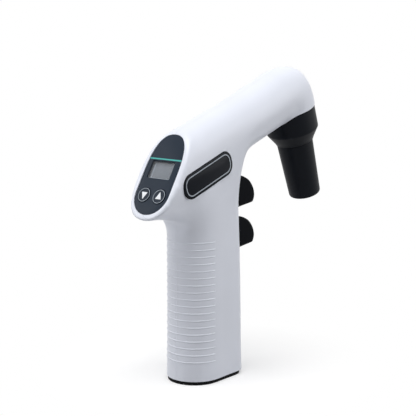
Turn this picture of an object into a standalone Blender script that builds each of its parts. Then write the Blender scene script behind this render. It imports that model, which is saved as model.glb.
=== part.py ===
"""Pistol-grip electronic pipette controller, as an assembly of separate pieces.

Metres, +Z up. The controller stands on its base. The origin is the middle of the base, +X points
to the nose, and the two housing halves meet on the plane Y = 0. The barrel is the sloping tube
that carries the display at its rear end and the nose at its front end.
"""

import math

import bmesh
import bpy
from mathutils import Matrix, Vector

# Barrel
HEAD_RADIUS = 0.0174
HEAD_TILT = math.radians(19.0)
HEAD_AXIS_HEIGHT = 0.1437
HEAD_CROTCH = 0.0016
WALL = 0.0020
SEAM_GAP = 0.0003
FIT_GAP = 0.0003

# Nose, measured along the barrel's axis and then down the nose's own axis
NOSE_REACH = 0.0890
NECK_DROP = 0.0354
NECK_RADIUS = 0.0123
COLLAR_BAND = 0.0083
COLLAR_TOP = 0.0230
COLLAR_WALL = 0.0028
HUB_RADIUS = 0.0050
HUB_TOP = 0.0110
SPIGOT_RADIUS = 0.0100
SPIGOT_LENGTH = 0.0085
CONE_LENGTH = 0.0392
CONE_TIP_RADIUS = 0.0107
CONE_WALL = 0.0016
CONE_EDGE = 0.0016
MOUTH_RADIUS = 0.0072
AIR_BORE = 0.0016

# Grip
GRIP_DEPTH = 0.0458
GRIP_HALF_WIDTH = 0.0167
GRIP_FRONT_RADIUS = 0.0090
GRIP_FLARE = 0.0006
GRIP_FLARE_HEIGHT = 0.0220
BASE_THICKNESS = 0.0020

# Display end
PANEL_REACH = 0.0380
PANEL_TILT = math.radians(58.5)
PANEL_HALF_WIDTH = 0.0130
PANEL_TOP = 0.0243
PANEL_BOTTOM = 0.0273
PANEL_THICKNESS = 0.0014
PANEL_LEDGE = 0.0014
RIM_ROUND = 0.0030
SCREEN_MIDDLE = 0.00135
SCREEN_SHIFT = -0.0007
SCREEN_WIDTH = 0.0175
SCREEN_HEIGHT = 0.0112
KEY_RADIUS = 0.0045
KEY_SPREAD = 0.00587
KEY_DROP = 0.0153
KEY_TRAVEL = 0.0008
KEY_THICKNESS = 0.0020
BOARD_DEPTH = 0.0068
BOARD_THICKNESS = 0.0012

# Triggers
TRIGGER_TOP_HEIGHT = 0.1135
TRIGGER_PITCH = 0.0258
TRIGGER_HEIGHT = 0.0208
TRIGGER_HALF_WIDTH = 0.0092
TRIGGER_REACH = 0.0192
TRIGGER_TRAVEL = 0.0050
TRIGGER_FLANGE = 0.0018
TRIGGER_FLANGE_LIP = 0.0008

# Valves behind the triggers
STEM_RADIUS = 0.0018
STEM_CLEARANCE = 0.0003
SPRING_WIRE = 0.0006
SPRING_RADIUS = 0.0038
SPRING_TURNS = 5
VALVE_BLOCK_FRONT = 0.0090
VALVE_BLOCK_DEPTH = 0.0150
VALVE_BLOCK_HALF_WIDTH = 0.0085
VALVE_BLOCK_MARGIN = 0.0080
NIPPLE_RADIUS = 0.0012
NIPPLE_LENGTH = 0.0030
NIPPLE_PLACE = (0.0055, 0.0040)
TUBE_RADIUS = 0.0016

# Pump, on the barrel's axis
MOTOR_START = -0.0150
MOTOR_RADIUS = 0.0122
MOTOR_LENGTH = 0.0310
PUMP_RADIUS = 0.0113
PUMP_FRAME_LENGTH = 0.0150
PUMP_COVER_LENGTH = 0.0085
PUMP_WALL = 0.0016
SHAFT_RADIUS = 0.0010
ECCENTRIC_RADIUS = 0.0055
ECCENTRIC_THROW = 0.0012

# Battery and charging board
CELL_RADIUS = 0.0092
CELL_LENGTH = 0.0650
CELL_OFFSET = -0.0045
FLOOR_HEIGHT = 0.0105
RIB_THICKNESS = 0.0016
SOCKET_WIDTH = 0.0089
SOCKET_DEPTH = 0.0032

# Fasteners
SCREW_RADIUS = 0.0012
SCREW_HEAD_RADIUS = 0.0024
SCREW_HEAD_HEIGHT = 0.0016
SCREW_LENGTH = 0.0140
BOSS_RADIUS = 0.0033
SCREW_SEAT = 0.0088
BASE_SCREW = (-0.0120, 0.0075)

# Badge on the right-hand side
BADGE_LENGTH = 0.0450
BADGE_WIDTH = 0.0152
BADGE_THICKNESS = 0.0014
BADGE_FORWARD = -0.0176
BADGE_DROP = 0.0099
BADGE_SEAT = 0.0164

# Grooves round the back of the grip
GROOVE_COUNT = 18
GROOVE_TOP = 0.0875
GROOVE_PITCH = 0.00432
GROOVE_WIDTH = 0.0011
GROOVE_DEPTH = 0.0004

# Facets
ROUND = 32
FINE = 20
RING = 12

FORWARD = Vector((math.cos(HEAD_TILT), 0.0, math.sin(HEAD_TILT)))
ABOVE = Vector((-math.sin(HEAD_TILT), 0.0, math.cos(HEAD_TILT)))
RIGHT = Vector((0.0, -1.0, 0.0))
UP = Vector((0.0, 0.0, 1.0))


def frame_of(origin, x_axis, z_axis):
    """A placement whose local x and z lie along the two axes given."""
    y_axis = z_axis.cross(x_axis)
    turn = Matrix((x_axis, y_axis, z_axis)).transposed().to_4x4()
    return Matrix.Translation(origin) @ turn


HEAD_ORIGIN = Vector((0.0, 0.0, HEAD_AXIS_HEIGHT))
NECK_ORIGIN = HEAD_ORIGIN + FORWARD * NOSE_REACH - ABOVE * NECK_DROP
PANEL_ORIGIN = HEAD_ORIGIN - FORWARD * PANEL_REACH
PANEL_NORMAL = Vector((-math.sin(PANEL_TILT), 0.0, math.cos(PANEL_TILT)))

HEAD = frame_of(HEAD_ORIGIN, FORWARD, ABOVE)
BARREL = frame_of(HEAD_ORIGIN, -ABOVE, FORWARD)
NOSE = frame_of(NECK_ORIGIN, FORWARD, ABOVE)
PANEL = frame_of(PANEL_ORIGIN, RIGHT, PANEL_NORMAL)
WORLD = Matrix.Identity(4)


for old in list(bpy.data.objects):
    bpy.data.objects.remove(old)
parts = bpy.data.collections.new("pipette_controller")
cutters = bpy.data.collections.new("cutters")
bpy.context.scene.collection.children.link(parts)
bpy.context.scene.collection.children.link(cutters)


def material(name, colour, roughness, metallic=0.0, alpha=1.0):
    """A Principled material in the piece's own colour."""
    made = bpy.data.materials.new(name)
    made.use_nodes = True
    shader = made.node_tree.nodes["Principled BSDF"]
    shader.inputs["Base Color"].default_value = (*colour, 1.0)
    shader.inputs["Roughness"].default_value = roughness
    shader.inputs["Metallic"].default_value = metallic
    shader.inputs["Alpha"].default_value = alpha
    made.diffuse_color = (*colour, alpha)
    return made


WHITE_SHELL = material("white_shell", (0.80, 0.81, 0.85), 0.35)
BLACK_NOSE = material("black_nose", (0.015, 0.016, 0.019), 0.45)
BLACK_TRIGGER = material("black_trigger", (0.012, 0.012, 0.014), 0.50)
BLACK_RUBBER = material("black_rubber", (0.010, 0.010, 0.011), 0.80)
NAVY_PANEL = material("navy_panel", (0.030, 0.038, 0.058), 0.35)
BADGE_BLACK = material("badge_black", (0.010, 0.011, 0.015), 0.30)
CLEAR_WINDOW = material("clear_window", (0.80, 0.82, 0.84), 0.05, 0.0, 0.25)
SCREEN_GREY = material("screen_grey", (0.33, 0.36, 0.38), 0.30)
SILICONE = material("silicone", (0.62, 0.64, 0.66), 0.60)
FILTER_PLASTIC = material("filter_plastic", (0.75, 0.78, 0.80), 0.40)
VALVE_PLASTIC = material("valve_plastic", (0.55, 0.56, 0.58), 0.50)
MOTOR_STEEL = material("motor_steel", (0.55, 0.55, 0.56), 0.35, 1.0)
SPRING_STEEL = material("spring_steel", (0.60, 0.60, 0.62), 0.30, 1.0)
CELL_WRAP = material("cell_wrap", (0.05, 0.20, 0.42), 0.45)
BOARD_GREEN = material("board_green", (0.03, 0.18, 0.08), 0.50)


def place(name, mesh, finish, frame=WORLD):
    """An object of its own in the parts collection."""
    obj = bpy.data.objects.new(name, mesh)
    obj.matrix_world = frame
    if finish is None:
        cutters.objects.link(obj)
        obj.hide_render = True
        obj.display_type = "WIRE"
    else:
        parts.objects.link(obj)
        obj.data.materials.clear()
        obj.data.materials.append(finish)
    return obj


def mesh_from(bm, name):
    """The bmesh as a mesh whose faces point outwards."""
    bmesh.ops.recalc_face_normals(bm, faces=bm.faces)
    mesh = bpy.data.meshes.new(name)
    bm.to_mesh(mesh)
    bm.free()
    return mesh


def bake(obj, clean=True):
    """Replaces the object's mesh by its evaluated one, with no modifiers left."""
    bpy.context.view_layer.update()
    graph = bpy.context.evaluated_depsgraph_get()
    mesh = bpy.data.meshes.new_from_object(obj.evaluated_get(graph))
    obj.modifiers.clear()
    if clean:
        bm = bmesh.new()
        bm.from_mesh(mesh)
        bmesh.ops.remove_doubles(bm, verts=bm.verts, dist=0.000002)
        bmesh.ops.recalc_face_normals(bm, faces=bm.faces)
        bm.to_mesh(mesh)
        bm.free()
    obj.data = mesh
    return obj


def combine(target, tool, operation):
    """Joins, cuts or intersects the target with another mesh object, and keeps the tool."""
    step = target.modifiers.new(operation.lower(), "BOOLEAN")
    step.operation = operation
    step.object = tool
    step.solver = "EXACT"
    return bake(target, clean=False)


def cut(target, *tools):
    """Cuts each tool out of the target."""
    for tool in tools:
        combine(target, tool, "DIFFERENCE")
    return target


def join(target, *tools):
    """Joins each tool to the target as one body."""
    for tool in tools:
        combine(target, tool, "UNION")
    return target


def round_edges(obj, width, segments=2, angle=40.0):
    """Rounds the edges that turn by more than the angle."""
    step = obj.modifiers.new("round", "BEVEL")
    step.width = width
    step.segments = segments
    step.limit_method = "ANGLE"
    step.angle_limit = math.radians(angle)
    step.use_clamp_overlap = True
    return bake(obj)


def box(name, low, high, finish, frame=WORLD, rounding=0.0):
    """A box between two corners of the frame."""
    low, high = Vector(low), Vector(high)
    bm = bmesh.new()
    bmesh.ops.create_cube(bm, size=1.0)
    bmesh.ops.scale(bm, vec=high - low, verts=bm.verts)
    bmesh.ops.translate(bm, vec=(low + high) / 2, verts=bm.verts)
    obj = place(name, mesh_from(bm, name), finish, frame)
    return round_edges(obj, rounding) if rounding else obj


def rod(name, radius, start, end, finish, sides=FINE):
    """A round bar between two points."""
    start, end = Vector(start), Vector(end)
    bm = bmesh.new()
    bmesh.ops.create_cone(
        bm, cap_ends=True, segments=sides, radius1=radius, radius2=radius, depth=(end - start).length
    )
    turn = (end - start).to_track_quat("Z", "Y").to_matrix().to_4x4()
    frame = Matrix.Translation((start + end) / 2) @ turn
    return place(name, mesh_from(bm, name), finish, frame)


def turned(name, profile, finish, frame=WORLD, steps=ROUND):
    """A profile of (radius, height) points turned round the frame's z axis.

    A profile that starts and ends on the axis is closed by it, and any other is a closed loop.
    """
    bm = bmesh.new()
    ring = [bm.verts.new((radius, 0.0, height)) for radius, height in profile]
    for first, second in zip(ring, ring[1:]):
        bm.edges.new((first, second))
    if profile[0][0] > 0.0:
        bm.edges.new((ring[-1], ring[0]))
    mesh = bpy.data.meshes.new(name)
    bm.to_mesh(mesh)
    bm.free()
    obj = place(name, mesh, finish, frame)
    step = obj.modifiers.new("turn", "SCREW")
    step.steps = steps
    step.render_steps = steps
    step.use_merge_vertices = True
    step.merge_threshold = 0.00001
    return bake(obj)


def prism(name, outline, low, high, finish, frame=WORLD):
    """A closed outline in the frame's xy plane, standing from low to high along z."""
    curve = bpy.data.curves.new(name, "CURVE")
    curve.dimensions = "2D"
    curve.fill_mode = "BOTH"
    curve.extrude = (high - low) / 2
    spline = curve.splines.new("POLY")
    spline.points.add(len(outline) - 1)
    for point, (x, y) in zip(spline.points, outline):
        point.co = (x, y, 0.0, 1.0)
    spline.use_cyclic_u = True
    drawn = bpy.data.objects.new(name + "_outline", curve)
    cutters.objects.link(drawn)
    drawn.matrix_world = frame @ Matrix.Translation((0.0, 0.0, (low + high) / 2))
    bpy.context.view_layer.update()
    graph = bpy.context.evaluated_depsgraph_get()
    mesh = bpy.data.meshes.new_from_object(drawn.evaluated_get(graph))
    matrix = drawn.matrix_world.copy()
    bpy.data.objects.remove(drawn)
    bm = bmesh.new()
    bm.from_mesh(mesh)
    bmesh.ops.remove_doubles(bm, verts=bm.verts, dist=0.000002)
    bmesh.ops.dissolve_limit(bm, angle_limit=0.001, verts=bm.verts, edges=bm.edges)
    return place(name, mesh_from(bm, name), finish, matrix)


def tube(name, points, radius, finish, sides=2):
    """A round tube with filled ends along a smooth curve through the points."""
    curve = bpy.data.curves.new(name, "CURVE")
    curve.dimensions = "3D"
    curve.bevel_depth = radius
    curve.bevel_resolution = sides
    curve.use_fill_caps = True
    spline = curve.splines.new("POLY")
    spline.points.add(len(points) - 1)
    for point, position in zip(spline.points, points):
        point.co = (*position, 1.0)
    obj = bpy.data.objects.new(name, curve)
    parts.objects.link(obj)
    curve.materials.append(finish)
    return obj


def smooth_route(points, per_span):
    """Points along a smooth curve that passes through the route's own points."""
    points = [Vector(point) for point in points]
    ends = [2 * points[0] - points[1], *points, 2 * points[-1] - points[-2]]
    route = []
    for before, first, second, after in zip(ends, ends[1:], ends[2:], ends[3:]):
        for step in range(per_span):
            u = step / per_span
            route.append(
                0.5
                * (
                    2 * first
                    + (second - before) * u
                    + (2 * before - 5 * first + 4 * second - after) * u**2
                    + (3 * first - before - 3 * second + after) * u**3
                )
            )
    return route + [points[-1]]


def oval(half_width, half_length, count):
    """An upright ellipse, anticlockwise."""
    return [
        (half_width * math.cos(angle), half_length * math.sin(angle))
        for angle in (2 * math.pi * k / count for k in range(count))
    ]


def arc(centre, radius, start, end, count):
    """Points of a round arc, in degrees."""
    return [
        (centre[0] + radius * math.cos(angle), centre[1] + radius * math.sin(angle))
        for angle in (math.radians(start + (end - start) * k / count) for k in range(count + 1))
    ]


def slot_outline(length, width, count=8):
    """A long hole or plate with round ends, along x."""
    reach = (length - width) / 2
    return arc((reach, 0), width / 2, -90, 90, count) + arc((-reach, 0), width / 2, 90, 270, count)


def grip_outline(inset, count=8):
    """The grip's section: round at the back, flat sides, and small corners in front."""
    half = GRIP_HALF_WIDTH - inset
    rear = -GRIP_DEPTH / 2 + GRIP_HALF_WIDTH
    front = GRIP_DEPTH / 2 - GRIP_FRONT_RADIUS
    corner = GRIP_FRONT_RADIUS - inset
    side = GRIP_HALF_WIDTH - GRIP_FRONT_RADIUS
    return (
        arc((rear, 0), half, 90, 270, 2 * count)
        + arc((front, -side), corner, -90, 0, count // 2)
        + arc((front, side), corner, 0, 90, count // 2)
    )


def at_head(along, above, side=0.0):
    """A point by its place along the barrel, above its axis, and towards +Y."""
    return HEAD_ORIGIN + FORWARD * along + ABOVE * above + Vector((0.0, side, 0.0))


# Housing

SWELL = 3.0 / (2.0 + math.cos(2 * math.pi / RING))
CHIN_SAG = {
    -0.0680: (0.0, -0.0012),
    -0.0540: (0.0, -0.0048),
    -0.0410: (0.0005, -0.0108),
    -0.0300: (-0.0010, -0.0156),
}
SAG_SHARE = {3: 0.15, 4: 1.0, 5: 1.2, 6: 0.98}
TOP_DIP = {-0.0300: 0.0003, -0.0127: 0.0005, 0.0047: 0.0008, 0.0220: 0.0011, 0.0420: 0.0014, 0.0560: 0.0006}
GRIP_STATIONS = (-0.0300, -0.0127, 0.0047, 0.0220)
ELBOW_REACH = {90.0: 1.0, 67.5: 1.095, 45.0: 1.275, 22.5: 1.145, 0.0: 1.0}


def barrel_ring(centre, above, radius, stretch=0.0):
    """The corners of one ring of the barrel's cage, from the top round the right-hand side.

    The stretch moves the upper corners away from the axis, and leaves the lowest where it is.
    """
    ring = []
    for k in range(RING):
        angle = 2 * math.pi * k / RING
        height = radius * math.cos(angle) + stretch * (1 + math.cos(angle)) / 2
        ring.append(centre + above * height + RIGHT * radius * math.sin(angle))
    return ring


def sag_ring(ring, sag):
    """Lowers the underside of a ring of the barrel's cage, for the chin behind the grip."""
    for k in range(RING):
        share = SAG_SHARE.get(min(k, RING - k), 0.0)
        ring[k] += Vector((sag[0] * share, 0.0, sag[1] * share))
    return ring


def extrude_ring(bm, ring, points):
    """Pulls a ring of edges out to new points, and returns the new ring."""
    edges = [bm.edges.get(pair) for pair in zip(ring, ring[1:] + ring[:1])]
    made = bmesh.ops.extrude_edge_only(bm, edges=edges)
    fresh = {item for item in made["geom"] if isinstance(item, bmesh.types.BMVert)}
    new_ring = []
    for old, point in zip(ring, points):
        partner = next(e.other_vert(old) for e in old.link_edges if e.other_vert(old) in fresh)
        partner.co = point
        new_ring.append(partner)
    return new_ring


def grip_ring(rear_height, front_height, spread=0.0, nip=0.0):
    """Corners of one ring of the grip's cage, from the back round the right-hand side to the front.

    The nip draws the front face and its corners in, towards the barrel.
    """
    half = GRIP_HALF_WIDTH + spread
    rear = -GRIP_DEPTH / 2 + GRIP_HALF_WIDTH
    front, near = GRIP_DEPTH / 2 + spread - nip, half - nip
    corner = GRIP_FRONT_RADIUS
    section = [
        (rear - half * SWELL * math.cos(math.radians(a)), half * SWELL * math.sin(math.radians(a)))
        for a in (0, 30, 60, 88)
    ]
    section += [(rear + 0.0070, half), (front - corner * 1.3, near)]
    section += [(front - corner * 0.62, near), (front - corner * 0.11, near - corner * 0.25)]
    section += [(front, near - corner * 1.15), (front, 0.0)]
    ring = []
    for x, across in section:
        share = min(max((x + GRIP_DEPTH / 2) / GRIP_DEPTH, 0.0), 1.0)
        ring.append(Vector((x, -across, rear_height + (front_height - rear_height) * share)))
    return ring


def housing_skin(levels):
    """The outer skin of the housing: a sloping tube with an elbow, and a grip under it."""
    radius = HEAD_RADIUS * SWELL
    bend = HEAD_RADIUS + HEAD_CROTCH
    stations = (-0.0680, -0.0540, -0.0410, *GRIP_STATIONS, 0.0420, 0.0560)
    bm = bmesh.new()
    ring = bmesh.ops.create_circle(bm, segments=RING, radius=radius)["verts"]
    rings = []
    for along in stations:
        points = barrel_ring(at_head(along, 0.0), ABOVE, radius, -TOP_DIP.get(along, 0.0))
        if along in CHIN_SAG:
            points = sag_ring(points, CHIN_SAG[along])
        if rings:
            ring = extrude_ring(bm, ring, points)
        for vert, point in zip(ring, points):
            vert.co = point
        rings.append(ring)
    centre = (NOSE_REACH - bend, -bend)
    for angle, reach in ELBOW_REACH.items():
        turn = math.radians(angle)
        along = centre[0] + bend * math.cos(turn)
        above = centre[1] + bend * math.sin(turn)
        outward = FORWARD * math.cos(turn) + ABOVE * math.sin(turn)
        stretch = (reach - 1.0) * (bend + HEAD_RADIUS)
        ring = extrude_ring(bm, ring, barrel_ring(at_head(along, above), outward, radius, stretch))
    ring = extrude_ring(bm, ring, barrel_ring(at_head(NOSE_REACH, -NECK_DROP), FORWARD, radius))

    # The grip grows from the hole left by the faces under the barrel
    first = stations.index(GRIP_STATIONS[0])
    last = stations.index(GRIP_STATIONS[-1])
    quarter = RING // 4
    under = set()
    for station in range(first, last):
        for k in range(quarter, 3 * quarter):
            corners = {rings[station][k], rings[station][k + 1], rings[station + 1][k + 1], rings[station + 1][k]}
            under.add(next(f for f in rings[station][k].link_faces if corners == set(f.verts)))
    bmesh.ops.delete(bm, geom=list(under), context="FACES")
    right = [rings[first][k] for k in range(2 * quarter, quarter - 1, -1)]
    right += [rings[k][quarter] for k in range(first + 1, last)]
    right += [rings[last][k] for k in range(quarter, 2 * quarter + 1)]
    left = [rings[first][k] for k in range(2 * quarter + 1, 3 * quarter + 1)]
    left += [rings[k][3 * quarter] for k in range(first + 1, last)]
    left += [rings[last][k] for k in range(3 * quarter, 2 * quarter, -1)]
    loop = right + list(reversed(left))
    foot = BASE_THICKNESS + FIT_GAP
    heights = (
        (0.0930, 0.1160, 0.0, 0.0014),
        (0.0850, 0.1010, 0.0, 0.0010),
        (0.0700, 0.0760, 0.0, 0.0004),
        (0.0480, 0.0480, 0.0, 0.0),
        (GRIP_FLARE_HEIGHT, GRIP_FLARE_HEIGHT, GRIP_FLARE * 0.3, 0.0),
        (foot, foot, GRIP_FLARE, 0.0),
        (foot - 0.0150, foot - 0.0150, GRIP_FLARE * 1.7, 0.0),
    )
    for rear_height, front_height, spread, nip in heights:
        right = grip_ring(rear_height, front_height, spread, nip)
        left = [Vector((p.x, -p.y, p.z)) for p in right[1:-1]]
        loop = extrude_ring(bm, loop, right + list(reversed(left)))
    bmesh.ops.recalc_face_normals(bm, faces=bm.faces)
    obj = place("housing_skin", mesh_from(bm, "housing_skin"), None)
    step = obj.modifiers.new("smooth", "SUBSURF")
    step.levels = levels
    step.render_levels = levels
    return bake(obj)


PARTING = (
    (-0.0090, 0.0231),
    (-0.0113, 0.0227),
    (-0.0137, 0.0220),
    (-0.0156, 0.0205),
    (-0.0168, 0.0176),
    (-0.0174, 0.0143),
)
LEVELS = 1


def rim_round(bm):
    """Rounds the display end over from the skin to the flat round the panel, and closes it."""
    cut = PANEL_ORIGIN - PANEL_NORMAL * RIM_ROUND
    rim = [e for e in bm.edges if e.is_boundary and abs((e.verts[0].co - cut).dot(PANEL_NORMAL)) < 1e-6]
    loop = [rim[0].verts[0], rim[0].verts[1]]
    while True:
        following = [e.other_vert(loop[-1]) for e in rim if loop[-1] in e.verts]
        fresh = [v for v in following if v not in loop]
        if not fresh:
            break
        loop.append(fresh[0])
    bm.normal_update()
    start = [v.co.copy() for v in loop]
    edge = []
    for vert in loop:
        climb = PANEL_NORMAL - vert.normal * PANEL_NORMAL.dot(vert.normal)
        edge.append(vert.co + climb * (RIM_ROUND / climb.dot(PANEL_NORMAL)))
    middle = sum(edge, Vector()) / len(edge)
    flat = []
    for k, point in enumerate(edge):
        along = edge[(k + 1) % len(edge)] - edge[k - 1]
        side = PANEL_NORMAL.cross(along).normalized()
        flat.append(point + (side if side.dot(middle - point) > 0 else -side) * RIM_ROUND)
    for u in (1 / 3, 2 / 3, 1.0):
        points = [(1 - u) ** 2 * p + 2 * u * (1 - u) * q + u**2 * r for p, q, r in zip(start, edge, flat)]
        loop = extrude_ring(bm, loop, points)
    bm.faces.new(loop)


def housing_solid(name, levels, inset):
    """The housing as a closed solid, or the space inside it when there is an inset."""
    skin = housing_skin(levels)
    skin.name = name
    bm = bmesh.new()
    bm.from_mesh(skin.data)
    bmesh.ops.recalc_face_normals(bm, faces=bm.faces)
    top = max(bm.faces, key=lambda face: face.calc_center_median().z)
    if top.normal.z < 0:
        bmesh.ops.reverse_faces(bm, faces=bm.faces)
    bm.normal_update()
    moved = [v.co - v.normal * inset * v.calc_shell_factor() for v in bm.verts]
    for vert, point in zip(bm.verts, moved):
        vert.co = point
    behind = RIM_ROUND if inset == 0.0 else RIM_ROUND + 0.0012
    foot = BASE_THICKNESS + FIT_GAP if inset == 0.0 else -0.0050
    neck = 0.0060 if inset == 0.0 else 0.0030
    for point, normal in (
        (PANEL_ORIGIN - PANEL_NORMAL * behind, PANEL_NORMAL),
        (Vector((0.0, 0.0, foot)), -UP),
    ):
        bmesh.ops.bisect_plane(
            bm, geom=bm.verts[:] + bm.edges[:] + bm.faces[:], plane_co=point, plane_no=normal, clear_outer=True
        )
    ahead = [v for v in bm.verts if (v.co - NECK_ORIGIN).dot(ABOVE) < 0.0300 and v.co.x > 0.0600]
    geom = set(ahead) | {e for v in ahead for e in v.link_edges} | {f for v in ahead for f in v.link_faces}
    bmesh.ops.bisect_plane(
        bm, geom=list(geom), plane_co=NECK_ORIGIN + ABOVE * neck, plane_no=-ABOVE, clear_outer=True
    )
    bmesh.ops.remove_doubles(bm, verts=bm.verts, dist=0.00001)
    if inset == 0.0:
        rim_round(bm)
    bmesh.ops.holes_fill(bm, edges=[e for e in bm.edges if e.is_boundary], sides=0)
    bmesh.ops.recalc_face_normals(bm, faces=bm.faces)
    bm.to_mesh(skin.data)
    bm.free()
    return skin


def housing_shell(levels):
    """The housing as one hollow shell, before its openings and its halves are cut."""
    return cut(housing_solid("housing_outer", levels, 0.0), housing_solid("housing_inner", levels, WALL))


def panel_outline(grow=0.0, count=10):
    """The panel's outline: a half circle below, straight sides, and a narrower round top."""
    half = PANEL_HALF_WIDTH + grow
    low = -PANEL_BOTTOM + PANEL_HALF_WIDTH
    middle = (PANEL_TOP - PANEL_BOTTOM) / 2
    high = PANEL_TOP + grow - middle
    outline = arc((0.0, low), half, 180, 360, 2 * count)
    for k in range(0, 2 * count + 1):
        angle = math.pi * k / (2 * count)
        across, up = math.cos(angle), math.sin(angle)
        x = half * math.copysign(abs(across) ** 0.8, across)
        outline.append((x, middle + high * up**0.8))
    return outline


def nose_prism(name, drop, below):
    """A prism on either side of the line where the white housing meets the black nose."""
    line = [(0.0300, PARTING[0][1]), *PARTING, (-0.0300, PARTING[-1][1])]
    line = [(s, w - drop) for s, w in line]
    end = -0.0300 if below else 0.0700
    outline = [(0.0300, end), *line, (-0.0300, end)]
    frame = frame_of(NECK_ORIGIN, FORWARD, RIGHT)
    return prism(name, [(s, w) for s, w in outline], -0.0300, 0.0300, None, frame)


def grip_plate(name, low, high, hole, inset=0.0010):
    """A plate across the grip with a round hole for the cell."""
    plate = prism(name, grip_outline(inset, 6), low, high, None)
    return cut(plate, rod(name + "_hole", hole, (CELL_OFFSET, 0, low - 0.001), (CELL_OFFSET, 0, high + 0.001), None))


def shared_housing():
    """The shell with everything that both halves share."""
    shell = housing_shell(LEVELS)
    join(shell, prism("panel_frame", panel_outline(0.0015), -0.0046, -0.0016, None, PANEL))
    pocket = prism("panel_pocket", panel_outline(FIT_GAP), -0.0020, 0.0050, None, PANEL)
    opening = prism("panel_opening", panel_outline(-PANEL_LEDGE), -0.0060, 0.0050, None, PANEL)
    cut(shell, pocket, opening, nose_prism("nose_side", 0.0, True))
    cell_top = FLOOR_HEIGHT + CELL_LENGTH
    for name, low, hole in (
        ("floor", FLOOR_HEIGHT - FIT_GAP - RIB_THICKNESS, 0.0030),
        ("rib_low", FLOOR_HEIGHT + CELL_LENGTH * 0.30, CELL_RADIUS + FIT_GAP),
        ("rib_high", FLOOR_HEIGHT + CELL_LENGTH * 0.72, CELL_RADIUS + FIT_GAP),
        ("ceiling", cell_top + FIT_GAP, 0.0030),
    ):
        join(shell, grip_plate(name, low, low + RIB_THICKNESS, hole))
    for name, along in (("ring_rear", MOTOR_START + 0.0051), ("ring_front", MOTOR_START + 0.0190)):
        ring = rod(name, HEAD_RADIUS - 0.0010, at_head(along, 0.0), at_head(along + RIB_THICKNESS, 0.0), None, 24)
        cut(ring, rod(name + "_hole", MOTOR_RADIUS + FIT_GAP, at_head(along - 0.001, 0.0), at_head(along + 0.003, 0.0), None, 24))
        cut(ring, box(name + "_low", (along - 0.001, -0.03, -0.03), (along + 0.003, 0.03, -0.0132), None, HEAD))
        join(shell, ring)
    return shell


def grip_grooves():
    """A comb of rings that cuts the grooves round the back of the grip."""
    spine, depth = GRIP_HALF_WIDTH + 0.0012, GROOVE_DEPTH
    profile = []
    for k in range(GROOVE_COUNT):
        height = GROOVE_TOP - GROOVE_PITCH * k
        profile += [
            (GRIP_HALF_WIDTH + 0.0005, height + GROOVE_WIDTH / 2),
            (GRIP_HALF_WIDTH - depth, height),
            (GRIP_HALF_WIDTH + 0.0005, height - GROOVE_WIDTH / 2),
        ]
    low = GROOVE_TOP - GROOVE_PITCH * (GROOVE_COUNT - 1) - GROOVE_WIDTH
    profile = [(spine, GROOVE_TOP + GROOVE_WIDTH), *profile, (spine, low)]
    axis = -GRIP_DEPTH / 2 + GRIP_HALF_WIDTH
    comb = turned("grooves", profile, None, Matrix.Translation((axis, 0.0, 0.0)), 24)
    return cut(comb, box("grooves_front", (axis, -0.03, 0.0), (0.03, 0.03, 0.15), None))


SCREW_PLACES = (
    ("grip_low", 0.0125, 0.0240, 0.0154),
    ("grip_high", 0.0125, 0.0600, 0.0154),
    ("barrel_rear", -0.0120, 0.1000, 0.0145),
    ("barrel_front", 0.0541, 0.1708, 0.0122),
)


def housing_half(shell, name, side):
    """One half of the housing: +1 is the left-hand one, which takes the screw heads."""
    half = place(name, shell.data.copy(), WHITE_SHELL)
    edge = SEAM_GAP / 2
    far = 0.0400
    low, high = (edge, far) if side > 0 else (-far, -edge)
    combine(half, box(name + "_side", (-0.1500, low, -0.0500), (0.2500, high, 0.3000), None), "INTERSECT")
    wide, reach = TRIGGER_HALF_WIDTH + FIT_GAP, TRIGGER_HEIGHT / 2 + FIT_GAP
    for window, height in (("upper", TRIGGER_TOP_HEIGHT), ("lower", TRIGGER_TOP_HEIGHT - TRIGGER_PITCH)):
        cut(half, box(f"{name}_{window}", (0.0170, -wide, height - reach), (0.0300, wide, height + reach), None))
        low, high = height - reach - 0.0022, height + reach + 0.0007
        cut(half, box(f"{name}_{window}_room", (0.0121, -wide - 0.0009, low), (0.0197, wide + 0.0009, high), None))
    for place_name, x, z, reach in SCREW_PLACES:
        boss = rod(f"{name}_{place_name}", BOSS_RADIUS, (x, side * edge, z), (x, side * reach, z), None, 16)
        join(half, boss)
    for place_name, x, z, _ in SCREW_PLACES:
        pilot = SCREW_RADIUS + 0.0002
        if side > 0:
            hole = rod(f"{place_name}_bore", pilot, (x, -0.001, z), (x, SCREW_SEAT + 0.001, z), None, 12)
            head = rod(f"{place_name}_head", SCREW_HEAD_RADIUS + FIT_GAP, (x, SCREW_SEAT, z), (x, far, z), None, 16)
            cut(half, hole, head)
        else:
            cut(half, rod(f"{place_name}_pilot", pilot, (x, 0.001, z), (x, SCREW_SEAT - SCREW_LENGTH - 0.0008, z), None, 12))
    fin = 0.0003 + VALVE_BLOCK_HALF_WIDTH
    near, outer = sorted((side * fin, side * (GRIP_HALF_WIDTH - 0.0010)))
    join(half, box(name + "_fin", (0.0005, near, 0.0900), (0.0021, outer, 0.1080), None))
    near, outer = sorted((-side * 0.0092, -side * 0.0150))
    join(half, box(name + "_rail", (near, -0.0110, -BOARD_DEPTH - BOARD_THICKNESS - 0.0019), (outer, -0.0020, -BOARD_DEPTH - BOARD_THICKNESS - FIT_GAP), None, PANEL))
    post = rod(name + "_post", 0.0030, (BASE_SCREW[0], side * BASE_SCREW[1], 0.0042), (BASE_SCREW[0], side * BASE_SCREW[1], FLOOR_HEIGHT - 0.0010), None, 16)
    join(half, post)
    cut(half, rod(name + "_post_hole", SCREW_RADIUS + 0.0002, (BASE_SCREW[0], side * BASE_SCREW[1], 0.0030), (BASE_SCREW[0], side * BASE_SCREW[1], FLOOR_HEIGHT - FIT_GAP - 0.0004), None, 12))
    return half


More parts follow.
